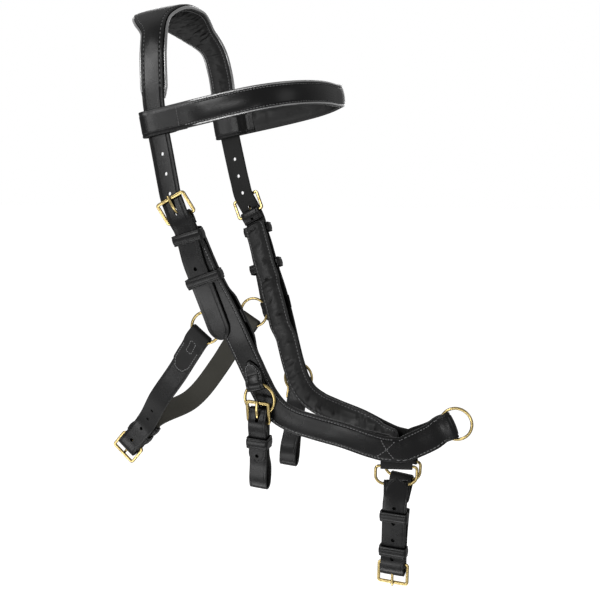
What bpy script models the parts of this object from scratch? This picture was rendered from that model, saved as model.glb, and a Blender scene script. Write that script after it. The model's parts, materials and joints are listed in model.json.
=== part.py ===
"""Anatomical bridle: padded crown, browband, shaped cheeks, jowl, bit and chin straps.

Units are metres. +X points to the horse's nose, +Y to the horse's left, +Z up.
The origin is the middle of the crown's underside, where it rests on the poll.
Pieces of the right side (-Y) are drawn first and mirrored to the left side.
"""
import math

import bmesh
import bpy
from mathutils import Vector

MM = 0.001

# Clearances
GAP = 0.3 * MM              # between neighbouring pieces
STITCHED_GAP = 0.3 * MM     # between layers of leather that are sewn together

# Leather
STRAP_THICK = 2.6 * MM      # bridle leather of the crown, cheeks and jowl strap
LIGHT_THICK = 2.2 * MM      # lighter leather of the bit and chin straps
TAB_THICK = 1.4 * MM        # ring tabs
KEEPER_THICK = 1.5 * MM
KEEPER_BAND = 10 * MM       # length of a keeper along its strap
EDGE_BEVEL = 0.6 * MM
PAD_THICK = 3.0 * MM        # padding at its edges
PAD_CROWN = 3.2 * MM        # extra thickness in the middle of the padding
PAD_GAP = 0.45 * MM         # between a strap and its padding
BROW_LINING = 2.0 * MM
BILLET_WIDTH = 22.5 * MM
CHEEK_WIDTH = 25 * MM
NOSE_WIDTH = 26 * MM
JOWL_WIDTH = 23 * MM
BIT_WIDTH = 18 * MM
CHIN_WIDTH = 23.5 * MM
CROWN_WIDTH = 56 * MM       # at the poll
BROWBAND_WIDTH = 24.5 * MM
HOLE_DIAMETER = 3.8 * MM
HOLE_PITCH = 19 * MM

# Metal
BUCKLE_WIRE = 1.3 * MM      # radius
BUCKLE_LENGTH = 20 * MM     # pivot bar to free bar
BUCKLE_SIDE = 1.4 * MM      # play between strap edge and side bar
CHEEK_SIDE = 2.5 * MM       # the same at the wide cheek buckles
BIT_SIDE = 0.7 * MM         # the same at the small bit buckles
BUCKLE_CORNER = 1.9 * MM
TONGUE_WIRE = 0.9 * MM      # half of a tongue's thickness
TONGUE_HALF_WIDTH = 1.4 * MM
RING_WIRE = 1.45 * MM       # radius
RING_RADIUS = 15.2 * MM     # to the middle of the wire
CHIN_RING_LENGTH = 40 * MM
CHIN_RING_HEIGHT = 18 * MM

# Places on the right side: forward, sideways from the middle, up
POLL = (-7 * MM, 0, 7.0 * MM)
POLL_TILT = 0.12            # rise of the crown's front edge over its rear edge
CHEEK_BUCKLE = (44.5 * MM, 84.6 * MM, -198 * MM)
CHEEK_BUCKLE_LEAN = math.radians(27)
JOWL_RING = (57.3 * MM, 60.2 * MM, -305 * MM)
BIT_RING = (111 * MM, 54.6 * MM, -373 * MM)
BIT_TILT = math.radians(6)
BIT_HANG = math.radians(3.6)  # the straps hang back a little
BROW_LOOP = (19.9 * MM, 82.5 * MM, -109 * MM)
BROW_RISE = math.radians(10.5)
BROW_FRONT = 169.5 * MM
BROW_LIFT = 6.5 * MM         # the left loop sits higher on its cheek than the right one
BROW_FRONT_WIDTH = 22.5 * MM
BROW_HALF_WIDTH = 87 * MM
JOWL_BUCKLE = (-62 * MM, -1 * MM, -445 * MM)
JOWL_SLOPE = math.radians(49)
CHIN_BUCKLE = (234 * MM, 8 * MM, -539 * MM)
CHIN_WIRE_HEIGHT = -438.5 * MM
CHIN_RING_CORNER = 3.5 * MM   # at the wire in the tab
CHIN_TAB_WIDTH = 31 * MM
NOSE_APEX = (286 * MM, 0, -397.5 * MM)

FINE = 0.7 * MM             # spacing of the points that describe a route

BLACK_LEATHER = ("black_leather", (0.012, 0.012, 0.013), 0.42, 0.0)
PADDING_LEATHER = ("padding_leather", (0.010, 0.010, 0.011), 0.55, 0.0)
FLESH_LEATHER = ("flesh_side_leather", (0.030, 0.029, 0.024), 0.6, 0.0)
BRASS = ("brass", (0.78, 0.60, 0.30), 0.18, 1.0)


def clear_scene():
    for thing in list(bpy.data.objects):
        bpy.data.objects.remove(thing, do_unlink=True)


def finish_material(finish):
    name, colour, roughness, metallic = finish
    material = bpy.data.materials.new(name)
    material.use_nodes = True
    shader = material.node_tree.nodes["Principled BSDF"]
    shader.inputs["Base Color"].default_value = (*colour, 1.0)
    shader.inputs["Roughness"].default_value = roughness
    shader.inputs["Metallic"].default_value = metallic
    return material


def smooth_line(values):
    """Cubic curve through the given vectors, as close points; each vector carries extra numbers."""
    count = len(values)
    chords = [max((values[i + 1][0] - values[i][0]).length, 1e-9) for i in range(count - 1)]
    slopes = []
    for i in range(count):
        if i == 0:
            slopes.append([(b - a) / chords[0] for a, b in zip(values[0], values[1])])
        elif i == count - 1:
            slopes.append([(b - a) / chords[-1] for a, b in zip(values[-2], values[-1])])
        else:
            before, after = chords[i - 1], chords[i]
            slopes.append([((c - b) / after * before + (b - a) / before * after) / (before + after)
                           for a, b, c in zip(values[i - 1], values[i], values[i + 1])])
    line = []
    for i in range(count - 1):
        span = chords[i]
        steps = max(2, math.ceil(span / FINE))
        for k in range(steps + (i == count - 2)):
            t = k / steps
            h00, h10 = 2 * t**3 - 3 * t**2 + 1, t**3 - 2 * t**2 + t
            h01, h11 = -2 * t**3 + 3 * t**2, t**3 - t**2
            line.append([a * h00 + p * (h10 * span) + b * h01 + q * (h11 * span)
                         for a, b, p, q in zip(values[i], values[i + 1], slopes[i], slopes[i + 1])])
    return line


class Route:
    """A smooth centre line of a strap, with the direction across the strap at every point."""

    def __init__(self, stations):
        line = smooth_line([[Vector(place), Vector(across)] for place, across in stations])
        self.set_line([place for place, _ in line], [across for _, across in line])

    def set_line(self, places, acrosses):
        self.places = places
        self.acrosses = acrosses
        self.travel = [0.0]
        for a, b in zip(places, places[1:]):
            self.travel.append(self.travel[-1] + (b - a).length)
        self.length = self.travel[-1]

    def spot(self, distance):
        low, high = 0, len(self.travel) - 1
        distance = min(max(distance, 0.0), self.length)
        while high - low > 1:
            middle = (low + high) // 2
            if self.travel[middle] <= distance:
                low = middle
            else:
                high = middle
        share = (distance - self.travel[low]) / max(self.travel[high] - self.travel[low], 1e-12)
        return (self.places[low].lerp(self.places[high], share),
                self.acrosses[low].lerp(self.acrosses[high], share))

    def frame(self, distance):
        """Place, along, across and outward directions at a distance from the start."""
        place, across = self.spot(distance)
        ahead, behind = self.spot(distance + FINE)[0], self.spot(distance - FINE)[0]
        along = (ahead - behind).normalized()
        across = (across - along * across.dot(along)).normalized()
        return place, along, across, across.cross(along)

    def layer(self, height, sideways=None):
        """The route moved outward by height, and sideways, each a number or a rule of distance."""
        places, acrosses = [], []
        for distance in self.travel:
            place, _, across, outward = self.frame(distance)
            lift = height(distance) if callable(height) else height
            slip = sideways(distance) if callable(sideways) else (sideways or 0.0)
            places.append(place + outward * lift + across * slip)
            acrosses.append(across)
        moved = Route.__new__(Route)
        moved.set_line(places, acrosses)
        return moved

    def part(self, start, end):
        stops = [d for d in self.travel if start < d < end]
        spots = [self.spot(d) for d in [start] + stops + [end]]
        piece = Route.__new__(Route)
        piece.set_line([p for p, _ in spots], [a for _, a in spots])
        return piece

    def nearest(self, point):
        """Distance along the route of the place closest to a point."""
        point = Vector(point)
        index = min(range(len(self.places)), key=lambda i: (self.places[i] - point).length)
        return self.travel[index]

    def stops(self, longest, turn=math.radians(15)):
        """Distances at which a strap needs a cross section."""
        out, last = [0.0], self.frame(0.0)[1]
        distance = FINE
        while distance < self.length - FINE:
            along = self.frame(distance)[1]
            if distance - out[-1] >= longest or along.angle(last) > turn:
                out.append(distance)
                last = along
            distance += FINE
        out.append(self.length)
        return out


class Seat:
    """Local axes of a buckle, ring or keeper: s along, w across, n outward."""

    def __init__(self, origin, along, outward):
        self.origin = Vector(origin)
        self.along = Vector(along).normalized()
        outward = Vector(outward)
        self.outward = (outward - self.along * outward.dot(self.along)).normalized()
        self.across = self.along.cross(self.outward)

    def point(self, s, w, n):
        return self.origin + self.along * s + self.across * w + self.outward * n


def seat_on(route, distance, flip=False):
    place, along, across, outward = route.frame(distance)
    return Seat(place, -along if flip else along, outward)


def arc(s, n, radius, start, end, steps):
    """Points of a circular arc in a seat's s and n plane, angles in degrees from s towards n."""
    angles = [math.radians(start + (end - start) * k / steps) for k in range(steps + 1)]
    return [(s + radius * math.cos(a), n + radius * math.sin(a)) for a in angles]


def flat_stations(seat, points, across):
    return [(seat.point(s, 0, n), across) for s, n in points]


def side_stations(points, outward=(0, -1, 0)):
    """Stations of a strap that lies flat on the side of the head."""
    places = [Vector(p) for p in points]
    out = []
    for i, place in enumerate(places):
        along = (places[min(i + 1, len(places) - 1)] - places[max(i - 1, 0)]).normalized()
        out.append((place, along.cross(Vector(outward)).normalized()))
    return out


def on_strap(route, points, height, turned=False):
    """Stations that lie at a height above another strap's middle, near the given points."""
    places, outs = [], []
    for point in points:
        place, _, _, outward = route.frame(route.nearest(point))
        offset = Vector(point) - place
        places.append(place + offset - outward * offset.dot(outward) + outward * height)
        outs.append(outward)
    stations = []
    for i, place in enumerate(places):
        along = (places[min(i + 1, len(places) - 1)] - places[max(i - 1, 0)]).normalized()
        across = along.cross(outs[i]).normalized()
        stations.append((place, -across if turned else across))
    return stations


def right_points(points):
    """Points of the right side from forward, sideways and up in millimetres."""
    return [right((x * MM, y * MM, z * MM)) for x, y, z in points]


def right(place):
    x, y, z = place
    return Vector((x, -y, z))


def mirror_point(point):
    return Vector((point.x, -point.y, point.z))


def join_rings(rings, closed):
    """Faces between successive rings of points, capped at both ends unless the loop is closed."""
    size = len(rings[0])
    points = [p for ring in rings for p in ring]
    faces = []
    for i in range(len(rings) if closed else len(rings) - 1):
        j = (i + 1) % len(rings)
        for k in range(size):
            m = (k + 1) % size
            faces.append((i * size + k, i * size + m, j * size + m, j * size + k))
    if not closed:
        faces.append(tuple(range(size)))
        faces.append(tuple((len(rings) - 1) * size + k for k in range(size)))
    return points, faces


def strap_section(frame, half_width, half_thick, rows, crown, outer_crown):
    place, _, across, outward = frame
    bevel = min(EDGE_BEVEL, half_thick * 0.6, half_width * 0.4)
    flats = [-1 + 2 * k / (rows - 1) for k in range(rows)]
    reach = half_width - bevel
    corners = [(u * reach, half_thick + outer_crown * (1 - u * u)) for u in flats]
    corners += [(half_width, half_thick - bevel), (half_width, -half_thick + bevel)]
    corners += [(u * reach, -half_thick - crown * (1 - u * u)) for u in reversed(flats)]
    corners += [(-half_width, -half_thick + bevel), (-half_width, half_thick - bevel)]
    return [place + across * w + outward * n for w, n in corners]


def strap(route, width, thick, longest=14 * MM, tip=0.0, heel=0.0, pointed=False,
          rows=2, crown=0.0, outer_crown=0.0, span=None, lift=None):
    """A flat strap or pad lofted along a route; tip and heel are the lengths of shaped ends.

    Span limits it to a part of the route, and lift moves its middle outward.
    """
    def end_share(distance_to_end, length):
        if length <= 0 or distance_to_end >= length:
            return 1.0
        share = max(distance_to_end / length, 0.0)
        if pointed:
            return 0.22 + 0.78 * math.sin(share * math.pi / 2)
        return max(math.sqrt(1 - (1 - share) ** 2), 0.3)

    start, end = span or (0.0, route.length)
    steps = (1.0, 0.72, 0.46, 0.24, 0.08)
    shaped = [end - tip * u for u in steps if tip] + [start + heel * u for u in steps if heel]
    inner = [d for d in route.stops(longest) if start + heel < d < end - tip]
    stops = sorted(inner + shaped + [start, end])
    kept = [stops[0]]
    for distance in stops[1:]:
        if distance - kept[-1] > 0.25 * MM:
            kept.append(distance)
    rings = []
    for distance in kept:
        share = min(end_share(end - distance, tip), end_share(distance - start, heel))
        whole = width(distance) if callable(width) else width
        place, along, across, outward = route.frame(distance)
        if lift:
            place = place + outward * lift(distance)
        rings.append(strap_section((place, along, across, outward), whole * share / 2, thick / 2,
                                   rows, crown * share, outer_crown * share))
    return join_rings(rings, False)


def rod(points, binormal, half_wide, half_thick, sides, closed, square=False):
    """A bar swept along points that lie in one plane; binormal is the plane's direction."""
    binormal = Vector(binormal).normalized()
    count = len(points)
    rings = []
    turn = math.pi / sides if square else 0.0
    stretch = 1 / math.cos(math.pi / sides) if square else 1.0
    for i, point in enumerate(points):
        if closed:
            ahead, behind = points[(i + 1) % count], points[i - 1]
        else:
            ahead, behind = points[min(i + 1, count - 1)], points[max(i - 1, 0)]
        side = (ahead - behind).normalized().cross(binormal).normalized()
        ring = []
        for k in range(sides):
            angle = 2 * math.pi * k / sides + turn
            ring.append(point + binormal * (half_wide * stretch * math.cos(angle))
                        + side * (half_thick * stretch * math.sin(angle)))
        rings.append(ring)
    return join_rings(rings, closed)


def round_rectangle(half_a, half_b, corner, steps=3):
    """Points of a rounded rectangle, as pairs."""
    out = []
    for sign_a, sign_b, start in ((1, 1, 0), (-1, 1, 90), (-1, -1, 180), (1, -1, 270)):
        for k in range(steps):
            angle = math.radians(start + 90 * k / (steps - 1))
            out.append((sign_a * (half_a - corner) + corner * math.cos(angle),
                        sign_b * (half_b - corner) + corner * math.sin(angle)))
    return out


def ring_shell(centre, axis, radius=RING_RADIUS, wire=RING_WIRE, count=24):
    axis = Vector(axis).normalized()
    first = axis.orthogonal().normalized()
    second = axis.cross(first)
    points = [Vector(centre) + (first * math.cos(2 * math.pi * k / count)
              + second * math.sin(2 * math.pi * k / count)) * radius for k in range(count)]
    return rod(points, axis, wire, wire, 8, True)


def buckle_shell(seat, width, pivot_n, free_n, length=BUCKLE_LENGTH, play=BUCKLE_SIDE):
    """Wire frame whose pivot bar crosses the seat at s = 0 and whose free bar is at s = length."""
    half = width / 2 + play + BUCKLE_WIRE
    points = []
    for s, w in round_rectangle(length / 2, half, BUCKLE_CORNER, 4):
        share = s / length + 0.5
        points.append(seat.point(share * length, w, pivot_n + (free_n - pivot_n) * share))
    slope = seat.point(length, 0, free_n) - seat.point(0, 0, pivot_n)
    return rod(points, slope.cross(seat.across), BUCKLE_WIRE, BUCKLE_WIRE, 8, True)


def tongue_shell(seat, pivot_n, reach):
    """Tongue coiled round the pivot bar, then bent through the points of reach."""
    coil = BUCKLE_WIRE + GAP + TONGUE_WIRE
    path = arc(0, pivot_n, coil, -30, -270, 8) + list(reach)
    points = [seat.point(s, 0, n) for s, n in path]
    return rod(points, seat.across, TONGUE_HALF_WIDTH, TONGUE_WIRE, 8, False)


def chape_points(pivot_n, thick, turn_back, outer_n=0.0, slope=0.0):
    """Fold of a strap's end round a pivot bar, from the turned-back end to the strap's level.

    The strap sinks by slope for each unit that it leaves the buckle.
    """
    bend = BUCKLE_WIRE + GAP + thick / 2
    under = outer_n - thick - STITCHED_GAP
    low = min(under, pivot_n - bend)
    points = [(-turn_back, under), (-bend * 3, under), (-bend * 1.2, low)]
    points += arc(0, pivot_n, bend, -90, 90, 6)
    points += [(-bend * 1.5, pivot_n + bend - (pivot_n + bend - outer_n) * 0.35),
               (-bend * 3, outer_n)]
    return [(s, n + min(s, 0) * slope) for s, n in points]


def hole_shell(seat, length=HOLE_DIAMETER, depth=6 * MM, sides=10):
    """Cutter for a punched hole: round, or lengthened along the strap for a tongue."""
    stretch = (length - HOLE_DIAMETER) / 2
    rings = []
    for n in (-depth, depth):
        ring = []
        for k in range(sides):
            angle = 2 * math.pi * (k + 0.5) / sides
            s = HOLE_DIAMETER / 2 * math.cos(angle)
            s += stretch if s > 0 else -stretch
            ring.append(seat.point(s, HOLE_DIAMETER / 2 * math.sin(angle), n))
        rings.append(ring)
    return join_rings(rings, False)


def slot_shell(seat, pivot_n, thick):
    """Cutter for the tongue's slot in a folded strap end."""
    half = TONGUE_HALF_WIDTH + GAP
    depth = BUCKLE_WIRE + GAP + thick + GAP / 2
    outline = arc(0, pivot_n, depth, 90, -90, 8)
    outline += [(-depth - 3.5 * MM, pivot_n - depth), (-depth - 3.5 * MM, pivot_n + depth * 0.55)]
    rings = [[seat.point(s, w, n) for s, n in outline] for w in (-half, half)]
    return join_rings(rings, False)


def keeper_shell(seat, width, low, high, band=KEEPER_BAND):
    """Leather loop round everything of the given width between the levels low and high."""
    half_w = width / 2 + GAP + KEEPER_THICK / 2
    half_n = (high - low) / 2 + GAP + KEEPER_THICK / 2
    middle = (high + low) / 2
    points = [seat.point(0, w, middle + n)
              for w, n in round_rectangle(half_w, half_n, 1.1 * MM, 2)]
    return rod(points, seat.along, band / 2, KEEPER_THICK / 2, 4, True, square=True)


def mesh_object(name, shell):
    points, faces = shell
    mesh = bpy.data.meshes.new(name)
    grid = bmesh.new()
    corners = [grid.verts.new(p) for p in points]
    for face in faces:
        grid.faces.new([corners[i] for i in face])
    bmesh.ops.recalc_face_normals(grid, faces=grid.faces)
    if grid.calc_volume(signed=True) < 0:
        bmesh.ops.reverse_faces(grid, faces=grid.faces)
    grid.to_mesh(mesh)
    grid.free()
    thing = bpy.data.objects.new(name, mesh)
    bpy.context.scene.collection.objects.link(thing)
    return thing


def add_piece(name, shell, finish, cutters=(), origin=None):
    """One finished piece, cut by the given cutters, with its origin on its joint's axis."""
    thing = mesh_object(name, shell)
    if origin is not None:
        thing.data.transform(translation(-Vector(origin)))
        thing.location = Vector(origin)
    thing.data.materials.append(finish_material(finish))
    thing.data.shade_smooth()
    thing.data.set_sharp_from_angle(angle=math.radians(42))
    for index, cutter_shell in enumerate(cutters):
        cutter = mesh_object(f"{name}_cutter_{index}", cutter_shell)
        cutter.hide_render = True
        cutter.display_type = "WIRE"
        cut = thing.modifiers.new(f"cut_{index}", "BOOLEAN")
        cut.operation = "DIFFERENCE"
        cut.solver = "EXACT"
        cut.object = cutter
    return thing


def translation(vector):
    from mathutils import Matrix
    return Matrix.Translation(vector)


def mirrored(shell):
    points, faces = shell
    return [mirror_point(p) for p in points], [tuple(reversed(f)) for f in faces]


def add_pair(name, shell, finish, cutters=(), origin=None):
    """The same piece on the right side and, mirrored, on the left side."""
    add_piece(f"right_{name}", shell, finish, cutters, origin)
    add_piece(f"left_{name}", mirrored(shell), finish, [mirrored(c) for c in cutters],
              None if origin is None else mirror_point(Vector(origin)))


def blend(value, low, high, start, end):
    """Smooth change from low to high while value goes from start to end."""
    share = min(max((value - start) / (end - start), 0.0), 1.0)
    share = share * share * (3 - 2 * share)
    return low + (high - low) * share


# Room between the cheek's leather and its padding
KEEPER_ROOM = KEEPER_THICK + 2.4 * MM
JOWL_ROOM = 9.2 * MM
CHIN_ROOM = 5.6 * MM

# Cheek buckle: levels above the middle of the cheek's leather
CHEEK_PIVOT_N = -1.4 * MM
CHEEK_LIFT = CHEEK_PIVOT_N + BUCKLE_WIRE + GAP + STRAP_THICK / 2
BILLET_ON_CHEEK = STRAP_THICK + STITCHED_GAP
BILLET_ON_BAR = CHEEK_LIFT + STRAP_THICK + GAP
BILLET_UNDER_FREE_BAR = 1.4 * MM
CHEEK_FREE_N = BILLET_UNDER_FREE_BAR + STRAP_THICK / 2 + GAP + BUCKLE_WIRE


def cheek_seat():
    lean = CHEEK_BUCKLE_LEAN
    return Seat(right(CHEEK_BUCKLE), (-math.sin(lean), 0, math.cos(lean)), (0, -1, 0))


def cheek_route():
    """Middle of the cheekpiece's leather from its turned-back end to the nose corner."""
    seat = cheek_seat()
    chape = chape_points(CHEEK_PIVOT_N, STRAP_THICK, 10 * MM, slope=0.07)
    stations = flat_stations(seat, chape, -seat.across)
    down = [(51, 83.6, -211), (56, 81.6, -224), (60.6, 79.2, -237), (67.2, 75.8, -254.5),
            (82, 68, -288), (91.5, 61.5, -313), (100.5, 54.5, -338), (108, 49.6, -358),
            (115.5, 46, -374), (126.5, 43, -387.5), (141, 40, -395.5), (158, 36.5, -400.5),
            (189.5, 30.5, -408.5), (216, 24.1, -417.3), (228, 20.8, -420.2), (238, 17.9, -420.9)]
    places = [right((x * MM, y * MM, z * MM)) for x, y, z in down]
    return Route(stations + side_stations(places))


def build():
    clear_scene()
    cheek = cheek_route()
    build_crown(cheek)
    build_browband()
    build_cheeks(cheek)
    build_jowl_strap(cheek)
    build_bit_straps(cheek)
    build_noseband(cheek)
    build_chin_strap(cheek)


def crown_half(cheek):
    """Right half of the crown strap, from the billet's tip up to the poll."""
    seat = cheek_seat()
    tip = right_points([(77.6, 64, -314.5), (71.3, 70, -291), (61.2, 78, -257), (55.4, 81, -238),
                        (52.4, 83, -222)])
    stations = on_strap(cheek, tip, BILLET_ON_CHEEK + 0.25 * MM)
    local = [(-11 * MM, BILLET_ON_CHEEK + 0.2 * MM), (-3 * MM, BILLET_ON_BAR),
             (3 * MM, BILLET_ON_BAR - 0.1 * MM), (12 * MM, BILLET_UNDER_FREE_BAR + 1.4 * MM),
             (20 * MM, BILLET_UNDER_FREE_BAR)]
    stations += flat_stations(seat, local, seat.across)
    high = [(31, 84.6, -163), (26, 83.4, -140), (19.7, 82.5, -110), (16.6, 82.0, -93),
            (14.6, 80.2, -66), (12.6, 76.8, -45), (8.6, 66, -20.5), (-0.8, 47, -4.8),
            (-6, 25, 4.4)]
    for place in right_points(high):
        stations.append((place, Vector((1, 0, blend(place.z, 0.18, POLL_TILT, -0.11, -0.005)))))
    return stations


def crown_route(cheek):
    half = crown_half(cheek)
    other = [(mirror_point(place), Vector((across.x, -across.y, across.z)))
             for place, across in reversed(half)]
    return Route(half + [(Vector(POLL), Vector((1, 0, POLL_TILT)))] + other)


def build_crown(cheek):
    """Crown strap with its two billets, and the padding under the poll."""
    route = crown_route(cheek)
    middle = route.length / 2
    flare = 40 * MM
    neck = 82 * MM

    def width(distance):
        away = abs(distance - middle)
        wide = blend(away, CROWN_WIDTH, BILLET_WIDTH + 1 * MM, flare * 0.35, neck)
        return blend(away, wide, BILLET_WIDTH, neck + 40 * MM, neck + 80 * MM)

    seat = cheek_seat()
    cutters = []
    crossing = route.nearest(seat.point(6.2 * MM, 0, BILLET_ON_BAR))
    for side in (crossing, route.length - crossing):
        cutters.append(hole_shell(seat_on(route, side), length=7.5 * MM))
    for step in (-3, -1, 1, 2, 3):
        for side in (crossing + step * HOLE_PITCH, route.length - crossing - step * HOLE_PITCH):
            if abs(step) != 1 or step > 0:
                cutters.append(hole_shell(seat_on(route, side)))
    add_piece("crown_strap", strap(route, width, STRAP_THICK, tip=14 * MM, heel=14 * MM,
                                   longest=8 * MM, rows=3), BLACK_LEATHER, cutters)

    pad_end = route.nearest(right((16.5 * MM, 82 * MM, -80 * MM)))
    depth = -(STRAP_THICK / 2 + PAD_GAP + PAD_THICK / 2)

    def pad_width(distance):
        away = abs(distance - middle)
        return blend(away, CROWN_WIDTH + 1 * MM, BILLET_WIDTH + 2 * MM, flare * 0.35, neck)

    add_piece("crown_padding", strap(route, pad_width, PAD_THICK, tip=7 * MM, heel=7 * MM,
                                     rows=5, crown=PAD_CROWN, longest=8 * MM,
                                     span=(pad_end, route.length - pad_end),
                                     lift=lambda distance: depth), PADDING_LEATHER)


def brow_point(forward, sideways, up=0.0):
    """A point of the browband's tilted plane: forward from the loop, sideways, and up."""
    base = right(BROW_LOOP)
    ahead = Vector((math.cos(BROW_RISE), 0, math.sin(BROW_RISE)))
    above = Vector((-math.sin(BROW_RISE), 0, math.cos(BROW_RISE)))
    up += blend(sideways, 0.0, BROW_LIFT, 0.0, 0.75 * BROW_HALF_WIDTH)
    sideways -= blend(sideways, 0.0, 0.05 * BROW_LIFT, 0.0, 0.75 * BROW_HALF_WIDTH)
    return Vector((base.x, 0, base.z)) + ahead * forward + above * up + Vector((0, sideways, 0))


def build_browband():
    """Browband with a loop at each end round the crown strap, and its lining."""
    above = Vector((-math.sin(BROW_RISE), 0, math.cos(BROW_RISE)))
    loop_y = -BROW_LOOP[1]
    bend = STRAP_THICK / 2 + 3 * GAP + STRAP_THICK / 2
    rear = -(BILLET_WIDTH / 2 + 1.2 * MM)
    inner = loop_y - bend + STRAP_THICK + STITCHED_GAP
    half = [(30 * MM, inner), (20 * MM, inner + 0.3 * MM), (14.5 * MM, loop_y + bend - 0.6 * MM),
            (10 * MM, loop_y + bend), (0, loop_y + bend)]
    half += [(s, n) for s, n in arc(rear, loop_y, bend, 90, 270, 6)]
    half += [(0, loop_y - bend), (14 * MM, loop_y - bend), (34 * MM, loop_y - bend - 0.6 * MM),
             (58 * MM, -BROW_HALF_WIDTH)]
    front_centre = 80 * MM
    reach = (BROW_FRONT - BROW_LOOP[0]) / math.cos(BROW_RISE) - front_centre
    curve = []
    for k in range(10):
        angle = math.radians(90 * k / 10)
        shape = 2 / 2.3
        curve.append((front_centre + reach * math.sin(angle) ** shape,
                      -BROW_HALF_WIDTH * math.cos(angle) ** shape))
    curve = [curve[0]] + curve[2:]
    half += curve
    other = [(f, -y) for f, y in reversed(half)]
    line = half + [(front_centre + reach, 0.0)] + other
    route = Route([(brow_point(f, y), above) for f, y in line])
    middle = route.length / 2

    def width(distance):
        away = abs(distance - middle)
        return blend(away, BROW_FRONT_WIDTH, BROWBAND_WIDTH, 0.2 * middle, 0.6 * middle)

    add_piece("browband", strap(route, width, STRAP_THICK, longest=16 * MM),
              BLACK_LEATHER, origin=brow_point(0, 0))

    start = route.nearest(brow_point(44 * MM, loop_y - bend - 0.7 * MM))
    inside = -1 if route.frame(route.length / 2)[3].x > 0 else 1
    depth = inside * (STRAP_THICK + BROW_LINING + 2 * STITCHED_GAP) / 2
    shell = strap(route, lambda d: width(d) - 1 * MM, BROW_LINING, tip=5 * MM, heel=5 * MM,
                  longest=16 * MM, span=(start, route.length - start), lift=lambda d: depth)
    add_piece("browband_padding", shell, PADDING_LEATHER)


def build_cheeks(cheek):
    """Cheekpieces with their buckles, tongues, keepers and padding."""
    seat = cheek_seat()
    bar = cheek.nearest(seat.point(0, 0, CHEEK_LIFT))

    def width(distance):
        past = distance - bar
        return blend(past, BILLET_WIDTH, CHEEK_WIDTH, 18 * MM, 44 * MM)

    add_pair("cheekpiece", strap(cheek, width, STRAP_THICK, longest=13 * MM),
             BLACK_LEATHER, [slot_shell(seat, CHEEK_PIVOT_N, STRAP_THICK)])
    shell = buckle_shell(seat, BILLET_WIDTH, CHEEK_PIVOT_N, CHEEK_FREE_N, play=CHEEK_SIDE)
    add_pair("cheek_buckle", shell, BRASS, origin=seat.point(0, 0, CHEEK_PIVOT_N))
    rest = CHEEK_FREE_N + BUCKLE_WIRE + GAP + TONGUE_WIRE
    reach = [(3.0 * MM, 1.6 * MM), (6.0 * MM, 3.6 * MM), (9.5 * MM, 5.4 * MM),
             (15 * MM, rest - 0.2 * MM), (BUCKLE_LENGTH, rest), (BUCKLE_LENGTH + 2.6 * MM, rest)]
    add_pair("cheek_tongue", tongue_shell(seat, CHEEK_PIVOT_N, reach), BRASS,
             origin=seat.point(0, 0, CHEEK_PIVOT_N))

    sunk = STRAP_THICK / 2 + PAD_GAP
    jowl = cheek.nearest(right(JOWL_RING))
    corner = cheek.length - 8 * MM

    def offset(distance):
        deep = blend(distance, KEEPER_ROOM, JOWL_ROOM, jowl - 30 * MM, jowl - 16 * MM)
        deep = blend(distance, deep, 0.0, jowl + 22 * MM, jowl + 40 * MM)
        deep = blend(distance, deep, CHIN_ROOM, corner - 30 * MM, corner - 14 * MM)
        return -(sunk + deep + PAD_THICK / 2)

    add_pair("cheek_padding", strap(cheek, CHEEK_WIDTH - 1 * MM, PAD_THICK, tip=8 * MM,
                                    heel=6 * MM, rows=4, crown=PAD_CROWN, longest=13 * MM,
                                    span=(bar + 16 * MM, cheek.length - 1 * MM), lift=offset),
             PADDING_LEATHER)

    billet = crown_route(cheek)
    for name, place in (("cheek_fixed_keeper", (49.5, 84, -217)),
                        ("cheek_running_keeper", (61.2, 78, -257))):
        spot, = right_points([place])
        over = billet.frame(billet.nearest(spot))
        under = cheek.frame(cheek.nearest(spot))
        hold = Seat((over[0] + under[0]) / 2, over[1] - under[1], under[3])
        sides, levels = [], []
        for frame, wide in ((over, BILLET_WIDTH), (under, width(cheek.nearest(spot)))):
            offset = frame[0] - hold.origin
            sides += [offset.dot(hold.across) - wide / 2, offset.dot(hold.across) + wide / 2]
            levels.append(offset.dot(hold.outward))
        hold.origin = hold.point(0, (min(sides) + max(sides)) / 2, 0)
        hold = Seat(hold.origin, over[1] * 0.7 - under[1], under[3])
        margin = STRAP_THICK / 2 + 0.7 * MM
        shell = keeper_shell(hold, max(sides) - min(sides) + 3.6 * MM,
                             min(levels) - margin - 0.4 * MM,
                             max(levels) + margin)
        add_pair(name, shell, BLACK_LEATHER, origin=hold.origin)


def ring_fold(width, thick, radius=RING_RADIUS):
    """Distance from a ring's centre to the middle of a strap's bend round its wire, and the
    bend's radius."""
    chord = math.sqrt(radius ** 2 - (width / 2) ** 2)
    slant = RING_WIRE * (radius / chord - 1)
    return chord - slant, RING_WIRE + GAP + thick / 2


def ring_end(centre, lean, side, slope, turn_back):
    """Path of a jowl strap's end round its ring, from the strap to the end of its turn-back.

    The strap hangs back by lean and moves inward by slope for each unit below the ring.
    """
    seat = Seat(centre, (-math.sin(lean), 0, -math.cos(lean)), (0, side, 0))
    fold, bend = ring_fold(JOWL_WIDTH, STRAP_THICK)
    clear = RING_RADIUS + RING_WIRE + 0.6 * MM
    step = STRAP_THICK + STITCHED_GAP

    def level(s):
        return -bend * blend(s, 1.0, 0.75, clear, clear + 20 * MM) - slope * max(s - clear, 0)

    reach = fold + turn_back
    stops = [clear + (reach - clear) * share for share in (0, 0.25, 0.5, 0.75, 1)]
    path = [(s, level(s)) for s in reversed(stops)]
    path += arc(fold, 0, bend, -90, -270, 6) + [(clear, bend)]
    path += [(s, level(s) + step + 0.3 * MM) for s in stops[1:]]
    return path, seat


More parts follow.
